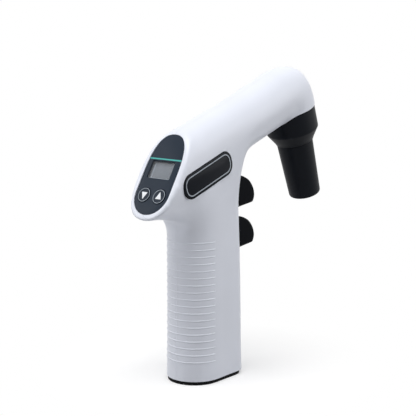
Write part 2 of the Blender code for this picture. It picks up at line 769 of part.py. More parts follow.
def build_housing():
    """Both halves of the housing, and the badge let into the right-hand one."""
    shell = shared_housing()
    right = housing_half(shell, "housing_right", -1)
    left = housing_half(shell, "housing_left", 1)
    comb = grip_grooves()
    cut(right, comb)
    cut(left, comb)
    badge_at = frame_of(at_head(BADGE_FORWARD, -BADGE_DROP), FORWARD, RIGHT)
    pocket = prism("badge_pocket", slot_outline(BADGE_LENGTH + 2 * FIT_GAP, BADGE_WIDTH + 2 * FIT_GAP), BADGE_SEAT - FIT_GAP, 0.0300, None, badge_at)
    cut(right, pocket)
    badge = prism("badge_right", slot_outline(BADGE_LENGTH, BADGE_WIDTH), BADGE_SEAT, BADGE_SEAT + BADGE_THICKNESS, BADGE_BLACK, badge_at)
    round_edges(badge, 0.0003, 2)
    return right, left


# Display end


def key_centres():
    """Where the two keys stand on the panel, by name: +x is the right-hand side."""
    return {"slower": -KEY_SPREAD, "faster": KEY_SPREAD}


def build_display():
    """The panel with its window, display, keys, switches and board."""
    panel = prism("display_panel", panel_outline(), -0.0017, -0.0017 + PANEL_THICKNESS, NAVY_PANEL, PANEL)
    half, reach = SCREEN_WIDTH / 2, SCREEN_HEIGHT / 2
    low, high = SCREEN_MIDDLE - reach, SCREEN_MIDDLE + reach
    left, right = SCREEN_SHIFT - half, SCREEN_SHIFT + half
    cut(panel, box("screen_hole", (left, low, -0.0030), (right, high, 0.0030), None, PANEL))
    for name, x in key_centres().items():
        frame = PANEL @ Matrix.Translation((x, -KEY_DROP, 0.0))
        hole = turned(name + "_hole", [(0, 0.003), (KEY_RADIUS + 0.0002, 0.003), (KEY_RADIUS + 0.0002, -0.003), (0, -0.003)], None, frame, 24)
        cut(panel, hole)
        turned(
            "key_" + name,
            [
                (0, 0.0002),
                (KEY_RADIUS - 0.0004, 0.0002),
                (KEY_RADIUS, -0.0002),
                (KEY_RADIUS, -0.0020),
                (KEY_RADIUS + 0.0007, -0.0020),
                (KEY_RADIUS + 0.0007, -0.0020 - KEY_THICKNESS / 2),
                (0.0015, -0.0020 - KEY_THICKNESS / 2),
                (0.0013, -0.0044),
                (0, -0.0044),
            ],
            BLACK_TRIGGER,
            frame,
            24,
        )
        top = -0.0044 - KEY_TRAVEL - 0.0002
        box(f"switch_{name}", (x - 0.0016, -KEY_DROP - 0.0016, -BOARD_DEPTH + FIT_GAP), (x + 0.0016, -KEY_DROP + 0.0016, top), MOTOR_STEEL, PANEL)
    gap = 0.0002
    box("display_window", (left + gap, low + gap, -0.0019), (right - gap, high - gap, -0.0009), CLEAR_WINDOW, PANEL)
    box("display_module", (left - 0.0009, low - 0.0012, -BOARD_DEPTH + FIT_GAP), (right + 0.0009, high + 0.0012, -0.0022), SCREEN_GREY, PANEL)
    board = box("main_board", (-0.0098, -0.0185, -BOARD_DEPTH - BOARD_THICKNESS), (0.0098, 0.0150, -BOARD_DEPTH), BOARD_GREEN, PANEL)
    return panel, board


# Nose


def build_nose():
    """The black collar that the housing halves hold, the cone screwed to it, and what the cone holds."""
    collar_inner = HEAD_RADIUS - COLLAR_WALL
    holder = turned(
        "nose_holder",
        [
            (HEAD_RADIUS, COLLAR_TOP - FIT_GAP),
            (HEAD_RADIUS, COLLAR_BAND),
            (NECK_RADIUS + 0.0003, 0.0),
            (SPIGOT_RADIUS, 0.0),
            (SPIGOT_RADIUS, -0.0046),
            (SPIGOT_RADIUS - 0.0010, -0.0046),
            (SPIGOT_RADIUS - 0.0010, -0.0064),
            (SPIGOT_RADIUS, -0.0064),
            (SPIGOT_RADIUS, -SPIGOT_LENGTH),
            (SPIGOT_RADIUS - 0.0024, -SPIGOT_LENGTH),
            (SPIGOT_RADIUS - 0.0024, 0.0020),
            (HUB_RADIUS, 0.0020),
            (HUB_RADIUS, -0.0070),
            (AIR_BORE, -0.0070),
            (AIR_BORE, HUB_TOP),
            (HUB_RADIUS - 0.0012, HUB_TOP),
            (HUB_RADIUS, 0.0042),
            (SPIGOT_RADIUS + 0.0006, 0.0042),
            (collar_inner, COLLAR_BAND + 0.0010),
            (collar_inner, COLLAR_TOP - FIT_GAP),
        ],
        BLACK_NOSE,
        NOSE,
    )
    cut(holder, nose_prism("holder_side", 0.0, False))
    trim = turned(
        "holder_trim",
        [(HEAD_RADIUS + 0.004, COLLAR_TOP + 0.002), (HEAD_RADIUS + 0.004, COLLAR_TOP), (0, COLLAR_TOP), (0, COLLAR_TOP + 0.002)],
        None,
        NOSE,
    )
    cut(holder, trim)
    sleeve = HEAD_RADIUS - WALL - FIT_GAP
    ring = turned(
        "holder_sleeve",
        [
            (sleeve, COLLAR_TOP + 0.0040),
            (sleeve, COLLAR_BAND + 0.0040),
            (sleeve - 0.0014, COLLAR_BAND + 0.0040),
            (sleeve - 0.0014, COLLAR_TOP + 0.0040),
        ],
        None,
        NOSE,
    )
    join(holder, ring)
    turned(
        "nose_seal",
        [(SPIGOT_RADIUS - 0.0002 + 0.0006 * math.cos(a), -0.0055 + 0.0006 * math.sin(a)) for a in (math.pi * k / 4 for k in range(8))][::-1],
        BLACK_RUBBER,
        NOSE,
        24,
    )
    tip = -CONE_LENGTH
    bore = SPIGOT_RADIUS + 0.0005
    turned(
        "nose_cone",
        [
            (NECK_RADIUS - 0.0002, -FIT_GAP),
            (CONE_TIP_RADIUS, tip + CONE_EDGE),
            (CONE_TIP_RADIUS - CONE_EDGE * 0.35, tip + CONE_EDGE * 0.35),
            (CONE_TIP_RADIUS - CONE_EDGE, tip),
            (MOUTH_RADIUS, tip),
            (MOUTH_RADIUS, tip + 0.0020),
            (CONE_TIP_RADIUS - CONE_WALL, tip + 0.0020),
            (bore - 0.0003, -0.0220),
            (bore, -0.0100),
            (bore, -FIT_GAP),
        ],
        BLACK_NOSE,
        NOSE,
    )
    turned(
        "pipette_adapter",
        [
            (0.0024, -0.0170),
            (CONE_TIP_RADIUS - CONE_WALL - FIT_GAP, -0.0170),
            (CONE_TIP_RADIUS - CONE_WALL - FIT_GAP, tip + 0.0023),
            (MOUTH_RADIUS - FIT_GAP, tip + 0.0023),
            (MOUTH_RADIUS - FIT_GAP, tip + 0.0004),
            (0.0052, tip + 0.0004),
            (0.0044, tip + 0.0030),
            (0.0042, -0.0250),
            (0.0024, -0.0220),
        ],
        SILICONE,
        NOSE,
        24,
    )
    turned(
        "membrane_filter",
        [
            (0, -0.0100),
            (0.0013, -0.0074),
            (0.0019, -0.0074),
            (0.0022, -0.0102),
            (0.0094, -0.0108),
            (0.0096, -0.0118),
            (0.0096, -0.0138),
            (0.0094, -0.0148),
            (0.0022, -0.0154),
            (0.0020, -0.0196),
            (0, -0.0196),
        ],
        FILTER_PLASTIC,
        NOSE,
        24,
    )
    return holder


# Triggers, valves and springs


def trigger_profile():
    """The trigger's side outline: height from its middle against the distance from the grip's face."""
    half, reach = TRIGGER_HEIGHT / 2, TRIGGER_REACH
    return [
        (-0.0045, -half),
        (0.0010, -half * 0.98),
        (reach - 0.0032, -half * 0.82),
        (reach - 0.0013, -half * 0.74),
        (reach - 0.0002, -half * 0.58),
        (reach, -half * 0.38),
        (reach - 0.0006, -half * 0.08),
        (reach - 0.0024, half * 0.26),
        (reach - 0.0056, half * 0.58),
        (reach - 0.0100, half * 0.83),
        (reach - 0.0142, half * 0.96),
        (0.0010, half),
        (-0.0045, half),
    ]


def build_triggers():
    """Two triggers, each with its valve stem and its return spring, and the block they work in."""
    face = GRIP_DEPTH / 2
    block_top = TRIGGER_TOP_HEIGHT + VALVE_BLOCK_MARGIN
    block_low = FLOOR_HEIGHT + CELL_LENGTH + 2 * FIT_GAP + RIB_THICKNESS
    back = VALVE_BLOCK_FRONT - VALVE_BLOCK_DEPTH
    wide = VALVE_BLOCK_HALF_WIDTH
    block = box("valve_block", (back, -wide, block_low), (VALVE_BLOCK_FRONT, wide, block_top), VALVE_PLASTIC)
    heights = {"upper": TRIGGER_TOP_HEIGHT, "lower": TRIGGER_TOP_HEIGHT - TRIGGER_PITCH}
    front = face - 0.0036
    for name, height in heights.items():
        frame = frame_of(Vector((face, 0.0, height)), Vector((1.0, 0.0, 0.0)), RIGHT)
        outline = [(x, z) for x, z in trigger_profile()]
        trigger = prism("trigger_" + name, outline, -TRIGGER_HALF_WIDTH, TRIGGER_HALF_WIDTH, BLACK_TRIGGER, frame)
        step = trigger.modifiers.new("corners", "BEVEL")
        step.width = 0.0030
        step.segments = 3
        step.limit_method = "WEIGHT"
        weight = trigger.data.attributes.new("bevel_weight_edge", "FLOAT", "EDGE")
        for edge in trigger.data.edges:
            a, b = (trigger.data.vertices[i].co for i in edge.vertices)
            same_side = abs(a.z - b.z) < 1e-6
            if same_side and min(a.x, b.x) > 0.0005:
                weight.data[edge.index].value = 1.0
        bake(trigger)
        lip = TRIGGER_FLANGE_LIP
        flange = box(
            name + "_flange",
            (front - TRIGGER_FLANGE, -TRIGGER_HALF_WIDTH - lip * 0.8, height - TRIGGER_HEIGHT / 2 - lip),
            (front, TRIGGER_HALF_WIDTH + lip * 0.8, height + TRIGGER_HEIGHT / 2 + lip),
            None,
        )
        join(trigger, flange)
        inner = front - TRIGGER_FLANGE - FIT_GAP
        bore = STEM_RADIUS + STEM_CLEARANCE
        end = back + 0.0020
        cut(block, rod(name + "_bore", bore, (end, 0, height), (VALVE_BLOCK_FRONT + 0.001, 0, height), None, 16))
        stem_end = end + TRIGGER_TRAVEL + 0.0008
        rod(f"valve_stem_{name}", STEM_RADIUS, (stem_end, 0, height), (inner, 0, height), MOTOR_STEEL, 12)
        coil = []
        low, high = VALVE_BLOCK_FRONT + FIT_GAP + SPRING_WIRE / 2, inner - SPRING_WIRE / 2
        count = SPRING_TURNS * 12
        for k in range(count + 1):
            angle = 2 * math.pi * k / 12
            x = low + (high - low) * k / count
            coil.append((x, SPRING_RADIUS * math.cos(angle), height + SPRING_RADIUS * math.sin(angle)))
        tube("spring_" + name, coil, SPRING_WIRE / 2, SPRING_STEEL, 1)
    for side in (-1, 1):
        x, y = NIPPLE_PLACE[0], side * NIPPLE_PLACE[1]
        join(block, rod(f"nipple_{side}", NIPPLE_RADIUS, (x, y, block_top - 0.001), (x, y, block_top + NIPPLE_LENGTH), None, 12))
    return block


# Pump


def build_pump():
    """A diaphragm pump on the barrel's axis: motor, frame with its eccentric, and valve cover."""
    end = MOTOR_START + MOTOR_LENGTH
    shaft = end + 0.0110
    turned(
        "pump_motor",
        [
            (0, shaft),
            (SHAFT_RADIUS, shaft),
            (SHAFT_RADIUS, end + 0.0012),
            (0.0040, end + 0.0012),
            (0.0040, end),
            (MOTOR_RADIUS - 0.0008, end),
            (MOTOR_RADIUS, end - 0.0008),
            (MOTOR_RADIUS, MOTOR_START + 0.0008),
            (MOTOR_RADIUS - 0.0008, MOTOR_START),
            (0, MOTOR_START),
        ],
        MOTOR_STEEL,
        BARREL,
        24,
    )
    base = end + FIT_GAP
    top = base + PUMP_FRAME_LENGTH
    frame = turned(
        "pump_frame",
        [
            (PUMP_RADIUS, base),
            (PUMP_RADIUS, top),
            (0.0030, top),
            (0.0030, top - PUMP_WALL),
            (PUMP_RADIUS - PUMP_WALL, top - PUMP_WALL),
            (PUMP_RADIUS - PUMP_WALL, base),
        ],
        VALVE_PLASTIC,
        BARREL,
        24,
    )
    rotor_low, rotor_high = base + 0.0020, top - PUMP_WALL - 0.0020
    lift = Matrix.Translation((ECCENTRIC_THROW, 0.0, 0.0))
    rotor = turned("pump_rotor", [(0, rotor_high), (ECCENTRIC_RADIUS, rotor_high), (ECCENTRIC_RADIUS, rotor_low + 0.003), (0, rotor_low + 0.003)], VALVE_PLASTIC, BARREL @ lift, 24)
    rotor.data.transform(lift)
    rotor.matrix_world = BARREL
    join(rotor, turned("rotor_hub", [(0, rotor_low + 0.004), (0.0028, rotor_low + 0.004), (0.0028, rotor_low), (0, rotor_low)], None, BARREL, 16))
    cut(rotor, turned("rotor_bore", [(0, shaft + 0.0005), (SHAFT_RADIUS + 0.0002, shaft + 0.0005), (SHAFT_RADIUS + 0.0002, rotor_low - 0.001), (0, rotor_low - 0.001)], None, BARREL, 12))
    low = top + FIT_GAP
    high = low + PUMP_COVER_LENGTH
    cover = turned(
        "pump_cover",
        [(0, high), (PUMP_RADIUS - 0.0020, high), (PUMP_RADIUS - 0.0004, high - 0.0020), (PUMP_RADIUS - 0.0004, low), (0, low)],
        FILTER_PLASTIC,
        BARREL,
        24,
    )
    join(cover, rod("cover_nipple", NIPPLE_RADIUS, at_head(high - 0.001, -0.0045, NIPPLE_PLACE[1]), at_head(high + 0.0018, -0.0045, NIPPLE_PLACE[1]), None, 12))
    return frame, high


def build_tubes(cover_end):
    """The two silicone tubes: pump to valves, and valves to the nose."""
    start = TRIGGER_TOP_HEIGHT + VALVE_BLOCK_MARGIN + NIPPLE_LENGTH + FIT_GAP
    x, y, low = NIPPLE_PLACE[0], NIPPLE_PLACE[1], -0.0127
    rise = [(x, y, start + 0.0015), at_head(0.0140, -0.0168, y), at_head(0.0220, low, y)]
    points = [
        *rise,
        at_head(cover_end - 0.0030, low, y),
        at_head(cover_end + 0.0035, low + 0.0018, y),
        at_head(cover_end + 0.0055, -0.0082, y),
        at_head(cover_end + 0.0044, -0.0052, y),
        at_head(cover_end + 0.0021, -0.0045, y),
    ]
    tube("pump_tube", [(x, y, start), *smooth_route(points, 3)], TUBE_RADIUS, SILICONE, 1)
    top = NECK_ORIGIN + ABOVE * (HUB_TOP + FIT_GAP)
    points = [
        *(Vector((p[0], -p[1], p[2])) for p in rise),
        at_head(cover_end, low, -y),
        at_head(cover_end + 0.0130, -0.0105, -y * 0.7),
        at_head(cover_end + 0.0260, -0.0052, -y * 0.2),
        at_head(NOSE_REACH - 0.0140, -0.0036, 0.0),
        at_head(NOSE_REACH - 0.0050, -0.0062, 0.0),
        top + ABOVE * 0.0060 - FORWARD * 0.0006,
        top + ABOVE * 0.0015,
        top,
    ]
    tube("nose_tube", [(x, -y, start), *smooth_route(points, 3)], TUBE_RADIUS, SILICONE, 1)


# Battery, charging board and base


def build_base():
    """The cell, the charging board and socket, and the black cover under the grip."""
    turned(
        "battery_cell",
        [
            (0, FLOOR_HEIGHT + CELL_LENGTH),
            (0.0030, FLOOR_HEIGHT + CELL_LENGTH),
            (0.0030, FLOOR_HEIGHT + CELL_LENGTH - 0.0008),
            (CELL_RADIUS - 0.0004, FLOOR_HEIGHT + CELL_LENGTH - 0.0008),
            (CELL_RADIUS, FLOOR_HEIGHT + CELL_LENGTH - 0.0012),
            (CELL_RADIUS, FLOOR_HEIGHT + 0.0004),
            (CELL_RADIUS - 0.0004, FLOOR_HEIGHT),
            (0, FLOOR_HEIGHT),
        ],
        CELL_WRAP,
        Matrix.Translation((CELL_OFFSET, 0.0, 0.0)),
        24,
    )
    floor = FLOOR_HEIGHT - FIT_GAP - RIB_THICKNESS
    board_top = floor - FIT_GAP
    x = 0.0095
    box("charging_board", (-0.0040, -0.0095, board_top - BOARD_THICKNESS), (0.0165, 0.0095, board_top), BOARD_GREEN)
    high = board_top - BOARD_THICKNESS - FIT_GAP
    socket = box("charging_socket", (x - SOCKET_DEPTH / 2, -SOCKET_WIDTH / 2, 0.0004), (x + SOCKET_DEPTH / 2, SOCKET_WIDTH / 2, high), MOTOR_STEEL)
    wall = 0.0004
    cut(socket, box("socket_mouth", (x - SOCKET_DEPTH / 2 + wall, -SOCKET_WIDTH / 2 + wall, -0.001), (x + SOCKET_DEPTH / 2 - wall, SOCKET_WIDTH / 2 - wall, high - 0.0010), None))
    join(socket, box("socket_tongue", (x - 0.0004, -0.0030, 0.0012), (x + 0.0004, 0.0030, high - 0.0006), None))
    cover = prism("base_cover", grip_outline(0.0005 - GRIP_FLARE * 0.8), 0.0, BASE_THICKNESS, BLACK_RUBBER)
    tongue = prism("cover_tongue", grip_outline(WALL + FIT_GAP + 0.0004), BASE_THICKNESS - 0.0005, BASE_THICKNESS + 0.0018, None)
    hollow = prism("cover_hollow", grip_outline(WALL + FIT_GAP + 0.0020), BASE_THICKNESS, BASE_THICKNESS + 0.0040, None)
    cut(tongue, hollow)
    join(cover, tongue)
    for side in (-1, 1):
        cx, cy = BASE_SCREW[0], side * BASE_SCREW[1]
        join(cover, rod(f"cover_boss_{side}", 0.0032, (cx, cy, 0.0010), (cx, cy, 0.0039), None, 16))
        cut(
            cover,
            rod(f"cover_bore_{side}", SCREW_RADIUS + 0.0002, (cx, cy, -0.001), (cx, cy, 0.0050), None, 12),
            rod(f"cover_sink_{side}", SCREW_HEAD_RADIUS + FIT_GAP, (cx, cy, -0.001), (cx, cy, 0.0022), None, 16),
        )
        name = "right" if side < 0 else "left"
        turned(
            f"base_screw_{name}",
            [
                (0, 0.0096),
                (SCREW_RADIUS, 0.0092),
                (SCREW_RADIUS, 0.0020),
                (SCREW_HEAD_RADIUS, 0.0020),
                (SCREW_HEAD_RADIUS, 0.0020 - SCREW_HEAD_HEIGHT + 0.0003),
                (SCREW_HEAD_RADIUS - 0.0003, 0.0020 - SCREW_HEAD_HEIGHT),
                (0, 0.0020 - SCREW_HEAD_HEIGHT),
            ],
            MOTOR_STEEL,
            Matrix.Translation((cx, cy, 0.0)),
            12,
        )
    gap = 0.0002
    cut(cover, box("cover_slot", (x - SOCKET_DEPTH / 2 - gap, -SOCKET_WIDTH / 2 - gap, -0.001), (x + SOCKET_DEPTH / 2 + gap, SOCKET_WIDTH / 2 + gap, 0.006), None))
    return cover


def build_screws():
    """The screws that hold the halves together, driven from the left-hand side."""
    for name, x, z, _ in SCREW_PLACES:
        seat = SCREW_SEAT + 0.0002
        frame = frame_of(Vector((x, 0.0, z)), Vector((1.0, 0.0, 0.0)), Vector((0.0, 1.0, 0.0)))
        turned(
            f"screw_{name}",
            [
                (0, seat + SCREW_HEAD_HEIGHT),
                (SCREW_HEAD_RADIUS - 0.0004, seat + SCREW_HEAD_HEIGHT),
                (SCREW_HEAD_RADIUS, seat + SCREW_HEAD_HEIGHT - 0.0005),
                (SCREW_HEAD_RADIUS, seat),
                (SCREW_RADIUS, seat),
                (SCREW_RADIUS, seat - SCREW_LENGTH + 0.0010),
                (0, seat - SCREW_LENGTH),
            ],
            MOTOR_STEEL,
            frame,
            12,
        )


def smooth_round_pieces():
    """Shades every piece smooth up to a fixed angle, so that round faces look round."""
    for obj in parts.objects:
        if obj.type == "MESH":
            for face in obj.data.polygons:
                face.use_smooth = len(face.vertices) <= 4
            obj.data.set_sharp_from_angle(angle=math.radians(35.0))


def main():
    build_housing()
    build_display()
    build_nose()
    build_triggers()
    _, cover_end = build_pump()
    build_tubes(cover_end)
    build_base()
    build_screws()
    smooth_round_pieces()


if __name__ == "__main__":
    main()
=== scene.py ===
"""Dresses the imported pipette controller: fine meshes, finishes, and the studio round it.

Metres, +Z up. The controller stands on its base at the origin, with its nose towards +X and the
halves of its housing meeting on Y = 0. Three frames place the pieces: the barrel's axis, the nose's
axis, and the plane of the display panel.
"""

from __future__ import annotations

import logging
import math
from collections.abc import Callable, Iterable, Sequence
from contextlib import contextmanager
from dataclasses import dataclass, field
from enum import Enum
from typing import Any, Iterator

import bmesh
import bpy
from mathutils import Matrix, Vector


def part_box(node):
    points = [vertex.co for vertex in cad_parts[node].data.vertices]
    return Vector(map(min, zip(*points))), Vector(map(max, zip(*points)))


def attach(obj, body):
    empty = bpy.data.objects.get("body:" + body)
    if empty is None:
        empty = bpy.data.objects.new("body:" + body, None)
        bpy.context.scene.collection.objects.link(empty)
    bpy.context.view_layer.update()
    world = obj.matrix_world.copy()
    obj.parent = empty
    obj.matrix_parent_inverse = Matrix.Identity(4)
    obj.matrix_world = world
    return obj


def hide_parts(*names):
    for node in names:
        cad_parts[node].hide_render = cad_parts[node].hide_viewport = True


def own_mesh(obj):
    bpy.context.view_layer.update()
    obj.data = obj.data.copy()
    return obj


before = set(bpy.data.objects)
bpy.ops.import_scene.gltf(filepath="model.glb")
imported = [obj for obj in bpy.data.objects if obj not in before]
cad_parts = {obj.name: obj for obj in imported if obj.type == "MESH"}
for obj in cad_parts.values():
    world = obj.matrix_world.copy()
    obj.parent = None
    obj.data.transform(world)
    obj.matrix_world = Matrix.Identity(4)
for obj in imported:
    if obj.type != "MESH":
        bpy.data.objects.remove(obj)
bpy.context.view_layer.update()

logging.basicConfig(level=logging.INFO, format="%(message)s")
LOG = logging.getLogger("pipette_controller")

Outline = list[tuple[float, float]]
Colour = tuple[float, ...]
MM = 0.001
BODY = "housing"

# How far a cutter reaches past a piece, how near a cut takes corners for one, and how near heights agree
AWAY = 0.030
HAIR = 1e-6
TOUCH = 1e-7

AHEAD = Vector((1.0, 0.0, 0.0))
LEFT = Vector((0.0, 1.0, 0.0))
RIGHT = Vector((0.0, -1.0, 0.0))
UP = Vector((0.0, 0.0, 1.0))


# Frames


def frame_of(origin: Vector, x_axis: Vector, z_axis: Vector) -> Matrix:
    """A placement whose local x and z lie along two directions.

    Args:
        origin: Where the local origin is.
        x_axis: Direction of the local x, a unit vector.
        z_axis: Direction of the local z, a unit vector.

    Returns:
        The 4 by 4 matrix of the placement.
    """
    turn = Matrix((x_axis, z_axis.cross(x_axis), z_axis)).transposed().to_4x4()
    return Matrix.Translation(origin) @ turn


@dataclass(frozen=True)
class Layout:
    """The frames that the barrel, the nose and the panel share."""

    tilt: float = math.radians(19.0)
    axis_height: float = 0.1437
    nose_reach: float = 0.0890
    neck_drop: float = 0.0354
    panel_reach: float = 0.0380
    panel_tilt: float = math.radians(58.5)

    @property
    def forward(self) -> Vector:
        """The barrel's direction, towards the nose."""
        return Vector((math.cos(self.tilt), 0.0, math.sin(self.tilt)))

    @property
    def above(self) -> Vector:
        """The direction away from the barrel's axis, on its upper side."""
        return Vector((-math.sin(self.tilt), 0.0, math.cos(self.tilt)))

    @property
    def panel_normal(self) -> Vector:
        """The direction that the display faces."""
        return Vector((-math.sin(self.panel_tilt), 0.0, math.cos(self.panel_tilt)))

    @property
    def neck_origin(self) -> Vector:
        """The middle of the nose's neck."""
        return self.at_head(self.nose_reach, -self.neck_drop)

    @property
    def panel_origin(self) -> Vector:
        """Where the panel's plane meets the barrel's axis."""
        return self.at_head(-self.panel_reach, 0.0)

    @property
    def nose(self) -> Matrix:
        """z along the nose's axis, upwards."""
        return frame_of(self.neck_origin, self.forward, self.above)

    @property
    def panel(self) -> Matrix:
        """x to the right-hand side, y up the panel, z out of it."""
        return frame_of(self.panel_origin, RIGHT, self.panel_normal)

    def at_head(self, along: float, above: float) -> Vector:
        """A point by its place along the barrel and above its axis."""
        return UP * self.axis_height + self.forward * along + self.above * above


LAYOUT = Layout()


# Drawing outlines


def fillet(corners: Sequence[tuple[float, float, float]], steps: int = 5) -> Outline:
    """Rounds the corners of a closed outline.

    Args:
        corners: Each corner's two coordinates and its rounding radius.
        steps: Chords of each rounded corner.

    Returns:
        The points of the rounded outline, in the same order.
    """
    made: Outline = []
    count = len(corners)
    for k, (x, y, radius) in enumerate(corners):
        here = Vector((x, y))
        back = Vector(corners[k - 1][:2]) - here
        ahead = Vector(corners[(k + 1) % count][:2]) - here
        if radius <= 0.0:
            made.append((x, y))
            continue
        half = back.angle(ahead) / 2
        reach = min(radius / math.tan(half), 0.49 * back.length, 0.49 * ahead.length)
        first = here + back.normalized() * reach
        last = here + ahead.normalized() * reach
        for step in range(steps + 1):
            u = step / steps
            low, high, weight = (1 - u) ** 2, u**2, 2 * u * (1 - u) * math.sin(half)
            point = (low * first + high * last + weight * here) / (low + high + weight)
            made.append((point.x, point.y))
    return made


def arc(centre: tuple[float, float], radius: float, start: float, end: float, count: int) -> Outline:
    """Points of a round arc, with its ends in degrees."""
    angles = [math.radians(start + (end - start) * k / count) for k in range(count + 1)]
    return [(centre[0] + radius * math.cos(a), centre[1] + radius * math.sin(a)) for a in angles]


def oblong(half_x: float, half_y: float, radius: float, steps: int = 5) -> Outline:
    """A rectangle about the origin with rounded corners."""
    signs = ((1, 1), (-1, 1), (-1, -1), (1, -1))
    return fillet([(sx * half_x, sy * half_y, radius) for sx, sy in signs], steps)


# Modelling tools


def put_down() -> None:
    """Leaves edit mode and deselects everything."""
    if bpy.context.mode != "OBJECT":
        bpy.ops.object.mode_set(mode="OBJECT")
    bpy.ops.object.select_all(action="DESELECT")


def pick(obj: bpy.types.Object) -> bpy.types.Object:
    """Selects one object alone and makes it the active one."""
    put_down()
    obj.select_set(True)
    bpy.context.view_layer.objects.active = obj
    return obj


@contextmanager
def editing(obj: bpy.types.Object) -> Iterator[None]:
    """Edit mode on one object, for as long as the block lasts."""
    pick(obj)
    bpy.ops.object.mode_set(mode="EDIT")
    bpy.ops.mesh.select_mode(type="VERT")
    yield
    bpy.ops.object.mode_set(mode="OBJECT")


def choose(obj: bpy.types.Object, test: Callable[[Vector, Vector], bool]) -> None:
    """Selects, in edit mode, the edges that pass a test.

    Args:
        obj: The object being edited.
        test: Takes an edge's middle and its direction, and says whether it is chosen.
    """
    bpy.ops.mesh.select_mode(type="EDGE")
    bpy.ops.mesh.select_all(action="DESELECT")
    mesh = bmesh.from_edit_mesh(obj.data)
    for edge in mesh.edges:
        first, second = (v.co for v in edge.verts)
        if test((first + second) / 2, (second - first).normalized()):
            edge.select_set(True)
    bmesh.update_edit_mesh(obj.data)


def select_loop(obj: bpy.types.Object, mesh: bmesh.types.BMesh, loop: Sequence[Any]) -> None:
    """Selects a loop of corners, in edit mode, and numbers them for the rings pulled from it."""
    order = mesh.verts.layers.int["order"]
    for k, vert in enumerate(loop):
        vert[order] = k
        vert.select_set(True)
    mesh.select_flush(True)
    bmesh.update_edit_mesh(obj.data)


def ring(name: str, points: Sequence[Vector]) -> bpy.types.Object:
    """Starts a piece from a circle whose corners are moved to the points, in edit mode, all selected."""
    put_down()
    bpy.ops.mesh.primitive_circle_add(vertices=len(points), radius=MM)
    obj = bpy.context.active_object
    obj.name = obj.data.name = name
    bpy.ops.object.mode_set(mode="EDIT")
    bpy.ops.mesh.select_mode(type="VERT")
    mesh = bmesh.from_edit_mesh(obj.data)
    order = mesh.verts.layers.int.new("order")
    mesh.verts.layers.int.new("station")
    for k, (vert, point) in enumerate(zip(mesh.verts, points)):
        vert.co = point
        vert[order] = k
    bmesh.update_edit_mesh(obj.data)
    bpy.ops.mesh.select_all(action="SELECT")
    return obj


def pull(obj: bpy.types.Object, points: Sequence[Vector], station: int = 0) -> None:
    """Extrudes the selected ring of edges, and puts the new corners at the points."""
    bpy.ops.mesh.extrude_edges_move()
    mesh = bmesh.from_edit_mesh(obj.data)
    order, stations = mesh.verts.layers.int["order"], mesh.verts.layers.int["station"]
    for vert in mesh.verts:
        if vert.select:
            vert.co = points[vert[order]]
            vert[stations] = station
    bmesh.update_edit_mesh(obj.data)


def tidy_mesh(obj: bpy.types.Object, within: float = 2e-6) -> bpy.types.Object:
    """Merges doubles and turns the faces outwards."""
    with editing(obj):
        bpy.ops.mesh.select_all(action="SELECT")
        bpy.ops.mesh.remove_doubles(threshold=within)
        bpy.ops.mesh.select_all(action="SELECT")
        bpy.ops.mesh.normals_make_consistent(inside=False)
    return obj


def close_holes(obj: bpy.types.Object) -> None:
    """Fills every open rim and turns the faces outwards."""
    with editing(obj):
        bpy.ops.mesh.select_all(action="SELECT")
        bpy.ops.mesh.fill_holes(sides=0)
        bpy.ops.mesh.select_all(action="SELECT")
        bpy.ops.mesh.normals_make_consistent(inside=False)


def apply(obj: bpy.types.Object, kind: str, **settings: Any) -> bpy.types.Object:
    """Adds a modifier with its settings and applies it."""
    pick(obj)
    step = obj.modifiers.new(kind.lower(), kind)
    for name, value in settings.items():
        setattr(step, name, value)
    bpy.ops.object.modifier_apply(modifier=step.name)
    return obj


def carve(target: bpy.types.Object, *tools: bpy.types.Object, way: str = "DIFFERENCE") -> bpy.types.Object:
    """Cuts each tool out of the target, or joins it, and puts the tool away."""
    for tool in tools:
        apply(target, "BOOLEAN", operation=way, solver="EXACT", object=tool)
        bpy.data.objects.remove(tool)
    return target


def turned(name: str, profile: Outline, frame_at: Matrix, steps: int = 72) -> bpy.types.Object:
    """Spins a closed profile of (radius, height) points round the frame's z axis."""
    obj = ring(name, [Vector((r, 0.0, h)) for r, h in profile])
    bpy.ops.mesh.spin(steps=steps, angle=math.tau, center=(0.0, 0.0, 0.0), axis=(0.0, 0.0, 1.0))
    bpy.ops.mesh.select_all(action="SELECT")
    bpy.ops.mesh.remove_doubles(threshold=2e-6)
    bpy.ops.mesh.dissolve_degenerate(threshold=HAIR)
    bpy.ops.object.mode_set(mode="OBJECT")
    obj.data.transform(frame_at)
    return tidy_mesh(obj)


